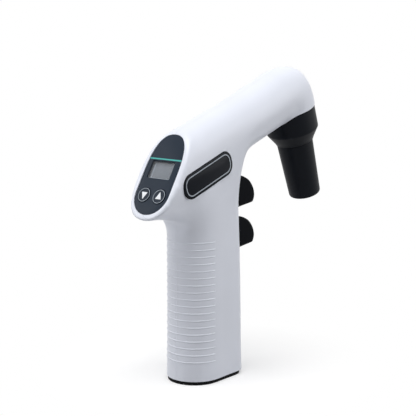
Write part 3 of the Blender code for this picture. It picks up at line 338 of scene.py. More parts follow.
def slab(
    name: str,
    outline: Outline,
    low: float,
    high: float,
    frame_at: Matrix,
    edge: float = 0.0,
    steps: int = 3,
    flare: float = 0.0,
) -> bpy.types.Object:
    """A plate that stands on an outline in the frame's xy plane.

    Args:
        name: The object's name.
        outline: The points of the outline.
        low: Where the plate starts along the frame's z.
        high: Where it ends.
        frame_at: The frame.
        edge: The width of the rounding along both rims.
        steps: The segments of that rounding.
        flare: How much wider the last stretch of its height grows, as a chamfer's cutter does.

    Returns:
        The plate.
    """
    obj = ring(name, [Vector((x, y, low)) for x, y in outline])
    bpy.ops.mesh.edge_face_add()
    bpy.ops.mesh.extrude_region_move(TRANSFORM_OT_translate={"value": (0.0, 0.0, high - low)})
    if flare:
        wide = 1.0 + 2 * flare / max(max(abs(x), abs(y)) for x, y in outline)
        bpy.ops.mesh.extrude_region_move(TRANSFORM_OT_translate={"value": (0.0, 0.0, 2 * flare)})
        middle = sum((Vector(p) for p in outline), Vector((0.0, 0.0))) / len(outline)
        bpy.ops.transform.resize(value=(wide, wide, 1.0), center_override=(*middle, 0.0))
    bpy.ops.mesh.select_all(action="SELECT")
    bpy.ops.mesh.normals_make_consistent(inside=False)
    if edge:
        choose(obj, lambda m, d: abs(d.z) < 0.01 and min(abs(m.z - low), abs(m.z - high)) < TOUCH)
        bpy.ops.mesh.bevel(offset=edge, segments=steps, profile=0.5, affect="EDGES")
    bpy.ops.object.mode_set(mode="OBJECT")
    obj.data.transform(frame_at)
    return tidy_mesh(obj)


def slice_off(obj: bpy.types.Object, point: Vector, normal: Vector, fill: bool = False) -> bpy.types.Object:
    """Cuts the piece by a plane and clears what lies beyond it."""
    with editing(obj):
        bpy.ops.mesh.select_all(action="SELECT")
        bpy.ops.mesh.bisect(plane_co=point, plane_no=normal, clear_outer=True, use_fill=fill, threshold=HAIR)
    return obj


def twin(obj: bpy.types.Object, name: str, move: Sequence[float] = (0.0, 0.0, 0.0)) -> bpy.types.Object:
    """A copy with a mesh of its own, moved to another place."""
    copy = bpy.data.objects.new(name, obj.data.copy())
    copy.data.name = name
    bpy.context.scene.collection.objects.link(copy)
    copy.data.transform(Matrix.Translation(move))
    return copy


def weld(name: str, pieces: Sequence[bpy.types.Object]) -> bpy.types.Object:
    """Joins several objects as one, with no change to their meshes."""
    put_down()
    for piece in pieces:
        piece.select_set(True)
    bpy.context.view_layer.objects.active = pieces[0]
    bpy.ops.object.join()
    pieces[0].name = pieces[0].data.name = name
    return pieces[0]


# Shader maths


class Wire:
    """A node's output, or a number, that takes part in maths: each operator adds one Math node."""

    def __init__(self, graph: Graph, source: Any) -> None:
        """Wraps a socket of the graph, or a number."""
        self.graph = graph
        self.source = source

    def _math(self, operation: str, *others: Any) -> Wire:
        """The result of one Math node over this value and the others."""
        values = {k: value for k, value in enumerate((self, *others))}
        return self.graph.node("ShaderNodeMath", {"operation": operation}, values)

    def __add__(self, other: Any) -> Wire:
        """Their sum."""
        return self._math("ADD", other)

    __radd__ = __add__

    def __mul__(self, other: Any) -> Wire:
        """Their product."""
        return self._math("MULTIPLY", other)

    __rmul__ = __mul__

    def __sub__(self, other: Any) -> Wire:
        """The difference."""
        return self._math("SUBTRACT", other)

    def __rsub__(self, other: Any) -> Wire:
        """The difference the other way round."""
        return Wire(self.graph, other)._math("SUBTRACT", self)

    def band(self, low: float, high: float) -> Wire:
        """0 below low, 1 above high, and smooth between them."""
        settings = {"interpolation_type": "SMOOTHSTEP"}
        return self.graph.node("ShaderNodeMapRange", settings, {0: self, 1: low, 2: high, 3: 0.0, 4: 1.0})


class Graph:
    """The node tree of a material or of the world, with the one method that makes its nodes."""

    def __init__(
        self,
        owner: bpy.types.Material | bpy.types.World,
        shader: str = "ShaderNodeBsdfPrincipled",
        output: str = "ShaderNodeOutputMaterial",
    ) -> None:
        """Starts the owner's tree with a shader and the output that shows it."""
        owner.use_nodes = True
        self.tree = owner.node_tree
        self.tree.nodes.clear()
        self.shader = self.tree.nodes.new(shader)
        self.output = self.tree.nodes.new(output)
        self.tree.links.new(self.shader.outputs[0], self.output.inputs[0])

    def feed(self, socket: bpy.types.NodeSocket, value: Any) -> None:
        """Links a wire to a socket, or sets the socket's own value."""
        if isinstance(value, Wire) and isinstance(value.source, bpy.types.NodeSocket):
            self.tree.links.new(value.source, socket)
        else:
            socket.default_value = value.source if isinstance(value, Wire) else value

    def node(self, kind: str, settings: dict[str, Any], sockets: dict[Any, Any], out: Any = 0) -> Wire:
        """Adds one node.

        Args:
            kind: The node's type.
            settings: Its own settings, set first.
            sockets: Values or wires for its inputs, by name or number.
            out: Which output is returned.

        Returns:
            The wire of that output.
        """
        made = self.tree.nodes.new(kind)
        for name, value in settings.items():
            setattr(made, name, value)
        for key, value in sockets.items():
            self.feed(made.inputs[key], value)
        return Wire(self, made.outputs[out])

    def place(self, move: Matrix | None = None) -> Wire:
        """The piece's Object coordinates, in metres, or its place in a frame of its own."""
        here = self.node("ShaderNodeTexCoord", {}, {}, "Object")
        if move is None:
            return here
        inverse = move.inverted()
        sockets = {0: here, 1: inverse.to_translation(), 2: inverse.to_euler()}
        return self.node("ShaderNodeMapping", {"vector_type": "POINT"}, sockets)

    def axis(self, where: Wire, name: str) -> Wire:
        """One coordinate of a vector."""
        return self.node("ShaderNodeSeparateXYZ", {}, {0: where}, name)

    def noise(self, where: Wire, scale: float, detail: float = 2.0, rough: float = 0.5) -> Wire:
        """A noise between 0 and 1, with the scale in features a metre."""
        sockets = {"Vector": where, "Scale": scale, "Detail": detail, "Roughness": rough}
        return self.node("ShaderNodeTexNoise", {}, sockets, "Fac")

    def cells(self, where: Wire, scale: float, settings: dict[str, Any] | None = None) -> Wire:
        """The distance to the nearest of scattered points, with the scale in points a metre."""
        sockets = {"Vector": where, "Scale": scale}
        return self.node("ShaderNodeTexVoronoi", settings or {}, sockets, "Distance")

    def blend(self, share: Wire | float, first: Any, second: Any) -> Wire:
        """A mix of two colours."""
        sockets = {0: share, 6: as_colour(first), 7: as_colour(second)}
        return self.node("ShaderNodeMix", {"data_type": "RGBA"}, sockets, 2)

    def raised(self, height: Wire, depth: float, strength: float = 1.0) -> Wire:
        """A bump from a height between 0 and 1, with its depth in metres."""
        return self.node("ShaderNodeBump", {}, {"Strength": strength, "Distance": depth, "Height": height})

    def set(self, **sockets: Any) -> None:
        """Sets or links the shader's sockets, by name with _ for a space."""
        for name, value in sockets.items():
            self.feed(self.shader.inputs[name.replace("_", " ")], value)

    def seen(self) -> Wire:
        """1 for the rays of the camera and those seen by gloss or through glass."""
        kinds = ("Camera", "Glossy", "Transmission")
        path = [self.node("ShaderNodeLightPath", {}, {}, f"Is {kind} Ray") for kind in kinds]
        return (path[0] + path[1] + path[2]).band(0.0, 0.5)

    def show(self, share: Wire, other: Wire) -> None:
        """Shows the shader with a share of another one."""
        lit = Wire(self, self.shader.outputs[0])
        mixed = self.node("ShaderNodeMixShader", {}, {0: share, 1: lit, 2: other})
        self.feed(self.output.inputs[0], mixed)


def as_colour(value: Any) -> Any:
    """A colour with its fourth number, or the wire as it is."""
    return value if isinstance(value, Wire) else (*value, 1.0)


def shade(colour: Colour, by: float) -> Colour:
    """A colour made lighter or darker by a share."""
    return tuple(min(1.0, c * by) for c in colour)


# Finishes


class Grain(Enum):
    """How a finish's surface is made."""

    MOULDED = "moulded"
    POLISHED = "polished"
    RUBBER = "rubber"
    BRUSHED = "brushed"
    SILICONE = "silicone"
    BOARD = "board"
    WRAP = "wrap"
    SCREEN = "screen"
    CLEAR = "clear"
    PRINT = "print"


@dataclass(frozen=True)
class Finish:
    """One finish of the controller, as a procedural material."""

    name: str
    colour: Colour
    roughness: float
    grain: Grain = Grain.MOULDED
    second: Colour = (0.0, 0.0, 0.0)
    relief: float = 1.0
    specular: float = 0.5

    def material(self) -> bpy.types.Material:
        """The finish's material, made the first time it is asked for."""
        name = self.name + "_finish"
        made = bpy.data.materials.get(name)
        if made is None:
            made = bpy.data.materials.new(name)
            graph = Graph(made)
            getattr(self, "_" + self.grain.value)(graph)
            graph.set(Specular_IOR_Level=self.specular)
        return made

    def _moulded(self, g: Graph) -> None:
        """Satin plastic: a spark-eroded texture, with broad slight differences in tone."""
        here = g.place()
        broad = g.noise(here, 28.0, 3.0)
        fine = g.noise(here, 3600.0, 2.0, 0.6)
        tone = g.blend(broad.band(0.25, 0.75), shade(self.colour, 0.975), shade(self.colour, 1.02))
        g.set(
            Base_Color=tone,
            Roughness=self.roughness + (broad - 0.5) * 0.08 + (fine - 0.5) * 0.08,
            Normal=g.raised(fine, 0.000018 * self.relief, 0.55),
        )

    def _polished(self, g: Graph) -> None:
        """Glossy plastic or enamel, with faint hairline scratches."""
        here = g.place()
        broad = g.noise(here, 45.0, 2.0)
        along = g.node("ShaderNodeMapping", {}, {0: here, 2: (0.3, 0.7, 0.5), 3: (60.0, 1.0, 9.0)})
        scratch = g.noise(along, 140.0, 1.0).band(0.63, 0.70)
        g.set(
            Base_Color=g.blend(broad, shade(self.colour, 0.92), shade(self.colour, 1.08)),
            Roughness=self.roughness + scratch * 0.10 + (broad - 0.5) * 0.05,
            Normal=g.raised(broad, 0.00001, 0.3),
            Coat_Weight=0.06,
            Coat_Roughness=0.10,
        )

    def _rubber(self, g: Graph) -> None:
        """Dull rubber with a pebbled skin and a little dust in it."""
        here = g.place()
        pebble = g.cells(here, 1500.0)
        dust = g.noise(here, 160.0, 4.0).band(0.45, 0.80)
        g.set(
            Base_Color=g.blend(dust * 0.20, self.colour, shade(self.colour, 2.0)),
            Roughness=self.roughness + (dust - 0.5) * 0.08,
            Normal=g.raised(pebble, 0.00004 * self.relief, 0.6),
        )

    def _brushed(self, g: Graph) -> None:
        """Bright metal with the marks of turning or drawing."""
        here = g.place()
        streaks = g.noise(g.node("ShaderNodeMapping", {}, {0: here, 3: (1.0, 1.0, 30.0)}), 420.0, 3.0)
        spots = g.noise(here, 380.0, 3.0).band(0.55, 0.80)
        g.set(
            Base_Color=g.blend(spots * 0.5, self.colour, shade(self.colour, 0.78)),
            Roughness=self.roughness + (streaks - 0.5) * 0.18 + spots * 0.08,
            Normal=g.raised(streaks, 0.00001, 0.5),
            Metallic=1.0 - spots * 0.12,
        )

    def _silicone(self, g: Graph) -> None:
        """Soft milky silicone with a waxy skin."""
        here = g.place()
        cloud = g.noise(here, 120.0, 3.0)
        skin = g.noise(here, 1800.0, 2.0)
        g.set(
            Base_Color=g.blend(cloud, shade(self.colour, 0.90), shade(self.colour, 1.08)),
            Roughness=self.roughness + (cloud - 0.5) * 0.12,
            Normal=g.raised(skin, 0.00002, 0.4),
            Subsurface_Weight=0.15,
            Subsurface_Radius=(0.002, 0.002, 0.002),
        )

    def _board(self, g: Graph) -> None:
        """A circuit board: tracks under solder resist, with tinned pads."""
        here = g.place()
        paths = {"distance": "MANHATTAN", "feature": "F2"}
        tracks = g.cells(here, 520.0, paths).band(0.55, 0.60)
        pads = g.cells(here, 330.0).band(0.20, 0.16)
        copper = g.blend(tracks, self.colour, shade(self.colour, 1.7))
        g.set(
            Base_Color=g.blend(pads, copper, self.second),
            Roughness=self.roughness - pads * 0.15,
            Metallic=pads * 0.9,
            Normal=g.raised(tracks, 0.00003, 0.8),
        )

    def _wrap(self, g: Graph) -> None:
        """A cell's shrink wrap, with its bare metal ends."""
        here = g.place()
        height = g.axis(here, "Z")
        bare = 1.0 - height.band(0.0112, 0.0116) * (1.0 - height.band(0.0738, 0.0742))
        crinkle = g.noise(here, 700.0, 3.0)
        g.set(
            Base_Color=g.blend(bare, g.blend(crinkle, self.colour, shade(self.colour, 1.15)), self.second),
            Metallic=bare * 0.95,
            Roughness=self.roughness - bare * 0.12 + (crinkle - 0.5) * 0.1,
            Normal=g.raised(crinkle, 0.00004, 0.4),
        )

    def _screen(self, g: Graph) -> None:
        """A bare liquid crystal display: a pale field in a darker frame, with a fine raster.

        The field has a painted sheen that lightens it towards the top left, and painted highlights
        in strips along its left and lower edges.
        """
        here = g.place(LAYOUT.panel)
        across, up = g.axis(here, "X"), g.axis(here, "Y")
        raster = {"wave_type": "BANDS", "bands_direction": "X"}
        lines = g.node("ShaderNodeTexWave", raster, {"Vector": here, "Scale": 900.0}, "Fac")
        cloud = g.noise(here, 90.0, 2.0)
        # Painted sheen: the field is lighter towards the top left, as if lamp light reflected off it, mixed
        # with a random mottle
        painted_sheen_and_mottle = (up * 45.0 - across * 22.0 + 0.5) * 0.55 + cloud * 0.25
        field = g.blend(painted_sheen_and_mottle.band(0.0, 1.0), self.colour, self.second)
        # Painted highlights: brighter strips along the display's left and lower edges, where light catches
        # them
        left = across.band(-0.0083, -0.0081) * (1.0 - across.band(-0.0077, -0.0075))
        foot = up.band(-0.0039, -0.0037) * (1.0 - up.band(-0.0034, -0.0032))
        field = g.blend((left + foot).band(0.0, 1.0), field, shade(self.second, 1.9))
        g.set(
            Base_Color=g.blend(lines * 0.10, field, shade(self.colour, 0.72)),
            Roughness=self.roughness + (cloud - 0.5) * 0.06,
            Normal=g.raised(lines, 0.000006, 0.3),
        )

    def _clear(self, g: Graph) -> None:
        """Clear acrylic: a thin see-through sheet with its gloss."""
        here = g.place()
        smear = g.noise(here, 130.0, 3.0)
        g.set(
            Base_Color=g.blend(smear, shade(self.colour, 0.98), self.colour),
            Roughness=self.roughness + smear.band(0.45, 0.75) * 0.06,
            Alpha=0.10 + smear * 0.05,
            IOR=1.49,
        )

    def _print(self, g: Graph) -> None:
        """Screen-printed ink, with the slight unevenness of its film."""
        here = g.place()
        film = g.noise(here, 1400.0, 3.0)
        g.set(
            Base_Color=g.blend(film, shade(self.colour, 0.90), self.colour),
            Roughness=self.roughness + (film - 0.5) * 0.15,
            Normal=g.raised(film, 0.00001, 0.4),
        )


SHELL_WHITE = Finish("white_shell", (0.785, 0.815, 0.895), 0.36, Grain.MOULDED, relief=0.5)
NOSE_BLACK = Finish("black_nose", (0.0052, 0.0066, 0.0100), 0.42, Grain.MOULDED, relief=1.2, specular=0.08)
TRIGGER_BLACK = Finish("black_trigger", (0.003, 0.0036, 0.0055), 0.42, Grain.MOULDED, specular=0.02)
PANEL_NAVY = Finish("navy_panel", (0.015, 0.024, 0.039), 0.38, Grain.MOULDED, relief=0.7, specular=0.14)
KEY_NAVY = Finish("key_black", (0.014, 0.022, 0.036), 0.36, Grain.MOULDED, relief=0.7, specular=0.14)
BADGE_BLACK = Finish("badge_black", (0.006, 0.008, 0.013), 0.22, Grain.POLISHED, specular=0.04)
PRINT_WHITE = Finish("print_white", (0.88, 0.90, 0.94), 0.45, Grain.PRINT)
PRINT_SILVER = Finish("print_silver", (0.42, 0.47, 0.53), 0.42, Grain.PRINT)
PRINT_TEAL = Finish("print_teal", (0.045, 0.42, 0.38), 0.40, Grain.PRINT)
# The display's darker and paler greys: its painted sheen blends from one to the other, and its painted edge
# highlights are the paler grey made brighter
SCREEN_TONES = (0.15, 0.175, 0.205), (0.24, 0.27, 0.31)
SCREEN_GREY = Finish("screen_grey", SCREEN_TONES[0], 0.28, Grain.SCREEN, SCREEN_TONES[1], specular=0.25)
WINDOW_CLEAR = Finish("clear_window", (0.40, 0.42, 0.45), 0.05, Grain.CLEAR)
RUBBER_BLACK = Finish("black_rubber", (0.006, 0.006, 0.007), 0.74, Grain.RUBBER, specular=0.08)
SILICONE = Finish("silicone", (0.62, 0.64, 0.66), 0.45, Grain.SILICONE)
FILTER_PALE = Finish("filter_plastic", (0.75, 0.78, 0.80), 0.35)
VALVE_GREY = Finish("valve_plastic", (0.50, 0.51, 0.53), 0.45)
STEEL = Finish("bright_metal", (0.62, 0.62, 0.64), 0.28, Grain.BRUSHED)
MOTOR_CAN = Finish("motor_can", (0.56, 0.56, 0.58), 0.34, Grain.BRUSHED)
CELL_WRAP = Finish("cell_wrap", (0.05, 0.20, 0.42), 0.40, Grain.WRAP, (0.60, 0.60, 0.62))
BOARD_GREEN = Finish("board_green", (0.02, 0.14, 0.06), 0.42, Grain.BOARD, (0.70, 0.68, 0.62))


def dress(obj: bpy.types.Object, finish: Finish) -> bpy.types.Object:
    """Gives a piece, or a node carried over, its one material."""
    made = finish.material()
    if obj.material_slots:
        for held in obj.material_slots:
            held.material = made
    else:
        obj.data.materials.append(made)
    return obj


def complete(
    obj: bpy.types.Object,
    finish: Finish,
    body: str = BODY,
    stands_for: Iterable[str] = (),
    angle: float = 35.0,
) -> bpy.types.Object:
    """Finishes a new piece: its shading, material and body, and the nodes that it stands for.

    Args:
        obj: The piece, with its place in its mesh.
        finish: Its finish.
        body: The body that it rides on.
        stands_for: The nodes that it stands for.
        angle: Edges that turn by more degrees than this stay sharp.

    Returns:
        The same piece.
    """
    obj.data.materials.clear()
    dress(obj, finish)
    pick(obj)
    bpy.ops.object.shade_smooth_by_angle(angle=math.radians(angle))
    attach(obj, body)
    if stands_for:
        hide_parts(*stands_for)
    put_down()
    LOG.info("%s: %d faces, on %s", obj.name, len(obj.data.polygons), body)
    return obj


# Housing


@dataclass
class Housing:
    """The white housing: a sloping tube with an elbow, and a grip under it, in two halves."""

    radius: float = 0.01735
    crotch: float = 0.0016
    wall: float = 0.0020
    rim: float = 0.0030
    seam: float = 0.00005
    sides: int = 12
    levels: int = 3
    stations: tuple[float, ...] = (-0.068, -0.054, -0.041, -0.030, -0.0127, 0.0047, 0.022, 0.042, 0.056)
    chin: dict[float, tuple[float, float]] = field(
        default_factory=lambda: {
            -0.068: (0.0, -0.0012),
            -0.054: (0.0, -0.0048),
            -0.041: (0.0005, -0.0108),
            -0.030: (-0.0010, -0.0156),
        }
    )
    chin_share: dict[int, float] = field(default_factory=lambda: {3: 0.15, 4: 1.0, 5: 1.2, 6: 0.98})
    dip: tuple[float, ...] = (0.0, 0.0, 0.0, 0.0003, 0.0005, 0.0008, 0.0011, 0.0014, 0.0006)
    elbow: tuple[tuple[float, float], ...] = (
        (90.0, 1.0),
        (67.5, 1.095),
        (45.0, 1.275),
        (22.5, 1.145),
        (0.0, 1.0),
    )
    parting: Outline = field(
        default_factory=lambda: [
            (-0.0090, 0.0231),
            (-0.0113, 0.0227),
            (-0.0137, 0.0220),
            (-0.0156, 0.0207),
            (-0.0168, 0.0192),
            (-0.0174, 0.0181),
        ]
    )
    grip_from: int = 3
    grip_to: int = 6
    grip_depth: float = 0.0458
    grip_half_width: float = 0.0167
    grip_back: tuple[float, ...] = (0.0, 30.0, 60.0, 88.0)
    grip_side: float = 0.0070
    grip_corner: float = 0.0090
    corner_shares: tuple[tuple[float, float], ...] = ((1.3, 0.0), (0.62, 0.0), (0.11, 0.25), (0.0, 1.15))
    grip_rings: tuple[tuple[float, float, float], ...] = (
        (0.0930, 0.1160, 0.0014),
        (0.0850, 0.1010, 0.0010),
        (0.0700, 0.0760, 0.0004),
        (0.0480, 0.0480, 0.0),
    )
    foot: float = 0.0023
    flare: float = 0.00056
    flare_rings: tuple[tuple[float, float], ...] = ((0.0220, 0.3), (0.0023, 1.0), (-0.0127, 1.7))
    rib_count: int = 18
    rib_top: float = 0.0875
    rib_pitch: float = 0.00432
    rib_height: float = 0.00028
    rib_width: float = 0.00100
    rib_root: float = 0.0006
    rib_sink: float = 0.0004
    rib_steps: int = 40
    hole_radius: float = 0.0027
    hole_floor: float = 0.0080
    holes: Outline = field(
        default_factory=lambda: [(0.0125, 0.0240), (0.0125, 0.0600), (-0.0120, 0.1000), (0.0541, 0.1708)]
    )

    @property
    def swell(self) -> float:
        """How far out a cage corner stands, for its smoothed surface to have the radius."""
        return 3.0 / (2.0 + math.cos(math.tau / self.sides))

    def barrel_ring(self, centre: Vector, above: Vector, stretch: float = 0.0) -> list[Vector]:
        """One ring of the barrel's cage, from the top round the right-hand side."""
        radius = self.radius * self.swell
        made = []
        for k in range(self.sides):
            angle = math.tau * k / self.sides
            height = radius * math.cos(angle) + stretch * (1 + math.cos(angle)) / 2
            made.append(centre + above * height + RIGHT * radius * math.sin(angle))
        return made

    def station_ring(self, along: float, dip: float) -> list[Vector]:
        """One ring of the straight barrel, with its underside lowered for the chin behind the grip."""
        points = self.barrel_ring(LAYOUT.at_head(along, 0.0), LAYOUT.above, -dip)
        dx, dz = self.chin.get(along, (0.0, 0.0))
        for k, point in enumerate(points):
            share = self.chin_share.get(min(k, self.sides - k), 0.0)
            points[k] = point + Vector((dx * share, 0.0, dz * share))
        return points

    def grip_ring(self, rear_height: float, front_height: float, spread: float, nip: float) -> list[Vector]:
        """One ring of the grip's cage, from the back round the right-hand side and back again.

        Args:
            rear_height: Its height at the back.
            front_height: Its height at the front.
            spread: How much wider it is than the grip.
            nip: How far its front is drawn in.

        Returns:
            Its corners.
        """
        half = self.grip_half_width + spread
        rear = -self.grip_depth / 2 + self.grip_half_width
        front, near, corner = self.grip_depth / 2 + spread - nip, half - nip, self.grip_corner
        back = [(math.cos(math.radians(a)), math.sin(math.radians(a))) for a in self.grip_back]
        section = [(rear - half * self.swell * c, half * self.swell * s) for c, s in back]
        section.append((rear + self.grip_side, half))
        section += [(front - corner * a, near - corner * b) for a, b in self.corner_shares]
        section.append((front, 0.0))
        right = []
        for x, across in section:
            share = min(max((x + self.grip_depth / 2) / self.grip_depth, 0.0), 1.0)
            right.append(Vector((x, -across, rear_height + (front_height - rear_height) * share)))
        left = [Vector((p.x, -p.y, p.z)) for p in right[1:-1]]
        return right + left[::-1]

    def skin(self, name: str, levels: int) -> bpy.types.Object:
        """The outer skin, smoothed from its cage and open at its three ends."""
        bend = self.radius + self.crotch
        rings = [self.station_ring(along, dip) for along, dip in zip(self.stations, self.dip)]
        for angle, reach in self.elbow:
            across, up = bend * math.cos(math.radians(angle)), bend * math.sin(math.radians(angle))
            middle = LAYOUT.at_head(LAYOUT.nose_reach - bend + across, up - bend)
            outward = LAYOUT.forward * (across / bend) + LAYOUT.above * (up / bend)
            rings.append(self.barrel_ring(middle, outward, (reach - 1.0) * (bend + self.radius)))
        rings.append(self.barrel_ring(LAYOUT.neck_origin, LAYOUT.forward))
        obj = ring(name, rings[0])
        for station, points in enumerate(rings[1:], start=1):
            pull(obj, points, station)
        self.open_underside(obj)
        for rear, front, nip in self.grip_rings:
            pull(obj, self.grip_ring(rear, front, 0.0, nip))
        for height, share in self.flare_rings:
            pull(obj, self.grip_ring(height, height, self.flare * share, 0.0))
        bpy.ops.object.mode_set(mode="OBJECT")
        tidy_mesh(obj)
        return apply(obj, "SUBSURF", levels=levels, render_levels=levels)

    def open_underside(self, obj: bpy.types.Object) -> None:
        """Deletes the faces under the barrel and selects the loop that the grip grows from."""

        def cage() -> tuple[bmesh.types.BMesh, dict[tuple[int, int], bmesh.types.BMVert]]:
            """The mesh being edited, and its corners by their ring and their place in it."""
            mesh = bmesh.from_edit_mesh(obj.data)
            order, station = (mesh.verts.layers.int[name] for name in ("order", "station"))
            return mesh, {(v[station], v[order]): v for v in mesh.verts}

        quarter, half = self.sides // 4, self.sides // 2
        first, last, far = self.grip_from, self.grip_to, self.sides - quarter
        mesh, corners = cage()
        inside = {corners[s, k] for s in range(first, last + 1) for k in range(quarter, far + 1)}
        bpy.ops.mesh.select_all(action="DESELECT")
        bpy.ops.mesh.select_mode(type="FACE")
        for face in mesh.faces:
            face.select_set(all(v in inside for v in face.verts))
        bmesh.update_edit_mesh(obj.data)
        bpy.ops.mesh.delete(type="FACE")
        bpy.ops.mesh.select_mode(type="VERT")
        bpy.ops.mesh.select_all(action="DESELECT")
        mesh, corners = cage()
        loop = [(first, k) for k in range(half, quarter - 1, -1)]
        loop += [(s, quarter) for s in range(first + 1, last)]
        loop += [(last, k) for k in range(quarter, far + 1)]
        loop += [(s, far) for s in range(last - 1, first, -1)]
        loop += [(first, k) for k in range(far, half, -1)]
        select_loop(obj, mesh, [corners[place] for place in loop])

    def round_rim(self, obj: bpy.types.Object, steps: int = 7) -> None:
        """Rounds the display end over from the skin to the flat round the panel, and closes it."""
        normal = LAYOUT.panel_normal
        cut = LAYOUT.panel_origin - normal * self.rim
        with editing(obj):
            bpy.ops.mesh.select_all(action="DESELECT")
            mesh = bmesh.from_edit_mesh(obj.data)
            mesh.normal_update()
            rim = [e for e in mesh.edges if e.is_boundary and abs((e.verts[0].co - cut).dot(normal)) < 5e-5]
            links: dict[Any, list[Any]] = {}
            for edge in rim:
                for vert in edge.verts:
                    links.setdefault(vert, []).append(edge.other_vert(vert))
            loop = [rim[0].verts[0], rim[0].verts[1]]
            while True:
                fresh = [v for v in links[loop[-1]] if v is not loop[-2]]
                if fresh[0] is loop[0]:
                    break
                loop.append(fresh[0])
            start = [v.co.copy() for v in loop]
            climbs = [normal - v.normal * normal.dot(v.normal) for v in loop]
            brow = [v.co + climb * (self.rim / climb.dot(normal)) for v, climb in zip(loop, climbs)]
            select_loop(obj, mesh, loop)
            middle = sum(brow, Vector()) / len(brow)
            flat = []
            for k, point in enumerate(brow):
                side = normal.cross(brow[(k + 1) % len(brow)] - brow[k - 1]).normalized()
                flat.append(point + (side if side.dot(middle - point) > 0 else -side) * self.rim)
            for step in range(1, steps + 1):
                u = step / steps
                low, bow, high = (1 - u) ** 2, 2 * u * (1 - u), u**2
                pull(obj, [low * p + bow * q + high * r for p, q, r in zip(start, brow, flat)])
            bpy.ops.mesh.edge_face_add()

    def solid(self, name: str, levels: int, inset: float = 0.0) -> bpy.types.Object:
        """The housing as a closed solid, or the space inside it where there is an inset."""
        obj = self.skin(name, levels)
        if inset:
            mesh = bmesh.new()
            mesh.from_mesh(obj.data)
            mesh.normal_update()
            moved = [v.co - v.normal * inset * v.calc_shell_factor() for v in mesh.verts]
            for vert, point in zip(mesh.verts, moved):
                vert.co = point
            mesh.to_mesh(obj.data)
            mesh.free()
        behind, low, neck = (self.rim + 0.0012, -0.005, 0.003) if inset else (self.rim, self.foot, 0.006)
        slice_off(obj, LAYOUT.panel_origin - LAYOUT.panel_normal * behind, LAYOUT.panel_normal)
        slice_off(obj, UP * low, -UP)
        end, above = LAYOUT.neck_origin, LAYOUT.above
        with editing(obj):
            bpy.ops.mesh.select_all(action="DESELECT")
            mesh = bmesh.from_edit_mesh(obj.data)
            for vert in mesh.verts:
                vert.select_set((vert.co - end).dot(above) < AWAY and vert.co.x > 0.060)
            mesh.select_flush(True)
            bmesh.update_edit_mesh(obj.data)
            cut = end + above * neck
            bpy.ops.mesh.bisect(plane_co=cut, plane_no=-above, clear_outer=True, threshold=HAIR)
        tidy_mesh(obj, 10 * HAIR)
        if not inset:
            self.round_rim(obj)
        close_holes(obj)
        return obj

    def nose_side(self, name: str, drop: float, below: bool) -> bpy.types.Object:
        """A block on one side of the line where the housing meets the nose."""
        line = [(AWAY, self.parting[0][1]), *self.parting, (-AWAY, self.parting[-1][1])]
        end = -AWAY if below else 0.070
        outline = [(AWAY, end), *((along, up - drop) for along, up in line), (-AWAY, end)]
        return slab(name, outline, -AWAY, AWAY, frame_of(LAYOUT.neck_origin, LAYOUT.forward, RIGHT))

    def ribs(self, shell: bpy.types.Object) -> bpy.types.Object:
        """The low ribs round the back of the grip, half rings with tapered ends that follow the skin."""
        axis = -self.grip_depth / 2 + self.grip_half_width
        reach, half, proud, root = self.grip_half_width, self.rib_width / 2, self.rib_height, -self.rib_root
        slope = [(root, 1.0), (root / 10, 1.0), (proud * 0.8, 0.45)]
        section = [(out, -half * share) for out, share in slope]
        section += [(proud, 0.0), *((out, half * share) for out, share in slope[::-1])]
        for step in range(self.rib_steps + 1):
            sunk = self.rib_sink if step in (0, self.rib_steps) else 0.0
            turn = Matrix.Rotation(math.pi * step / self.rib_steps, 4, "Z")
            points = [turn @ Vector((0.0, reach + out - sunk, z)) for out, z in section]
            if step:
                pull(made, points)
            else:
                made = ring("rib_0", points)
        bpy.ops.object.mode_set(mode="OBJECT")
        close_holes(made)
        tidy_mesh(made)
        middles = [Vector((axis, 0.0, self.rib_top - self.rib_pitch * k)) for k in range(self.rib_count)]
        copies = [twin(made, f"rib_{k + 1}", middle) for k, middle in enumerate(middles)]
        bpy.data.objects.remove(made)
        bpy.context.view_layer.update()
        for middle, rib in zip(middles, copies):
            for vert in rib.data.vertices:
                way = Vector((vert.co.x - axis, vert.co.y, 0.0)).normalized()
                found, point, _, _ = shell.ray_cast(middle + way * AWAY, -way)
                if found:
                    vert.co += way * ((point - middle).length - reach)
        return weld("grip_ribs", copies)

    def build(self, panel: DisplayPanel, triggers: Triggers, badge: Badge) -> None:
        """Makes both halves, with everything that is cut into them."""
        shell = carve(self.solid("shell_right", self.levels), self.solid("inner", 2, self.wall))
        carve(shell, panel.seat(), way="UNION")
        carve(shell, *panel.openings(), self.nose_side("nose_side", 0.0, True))
        carve(shell, *(triggers.window(height) for height in triggers.heights), badge.pocket())
        carve(shell, self.ribs(shell), way="UNION")
        tidy_mesh(shell, 5 * HAIR)
        left = twin(shell, "shell_left")
        for half, side in ((shell, RIGHT), (left, LEFT)):
            slice_off(half, side * self.seam, -side, fill=True)
        radius, low, high = self.hole_radius, self.hole_floor, 0.0400
        for x, z in self.holes:
            profile = [(0.0, low), (radius, low), (radius, high), (0.0, high)]
            carve(left, turned("screw_hole", profile, frame_of(Vector((x, 0.0, z)), AHEAD, LEFT), 32))
        for half, node in ((shell, "housing_right"), (left, "housing_left")):
            complete(half, SHELL_WHITE, stands_for=[node], angle=32.0)


# Display panel


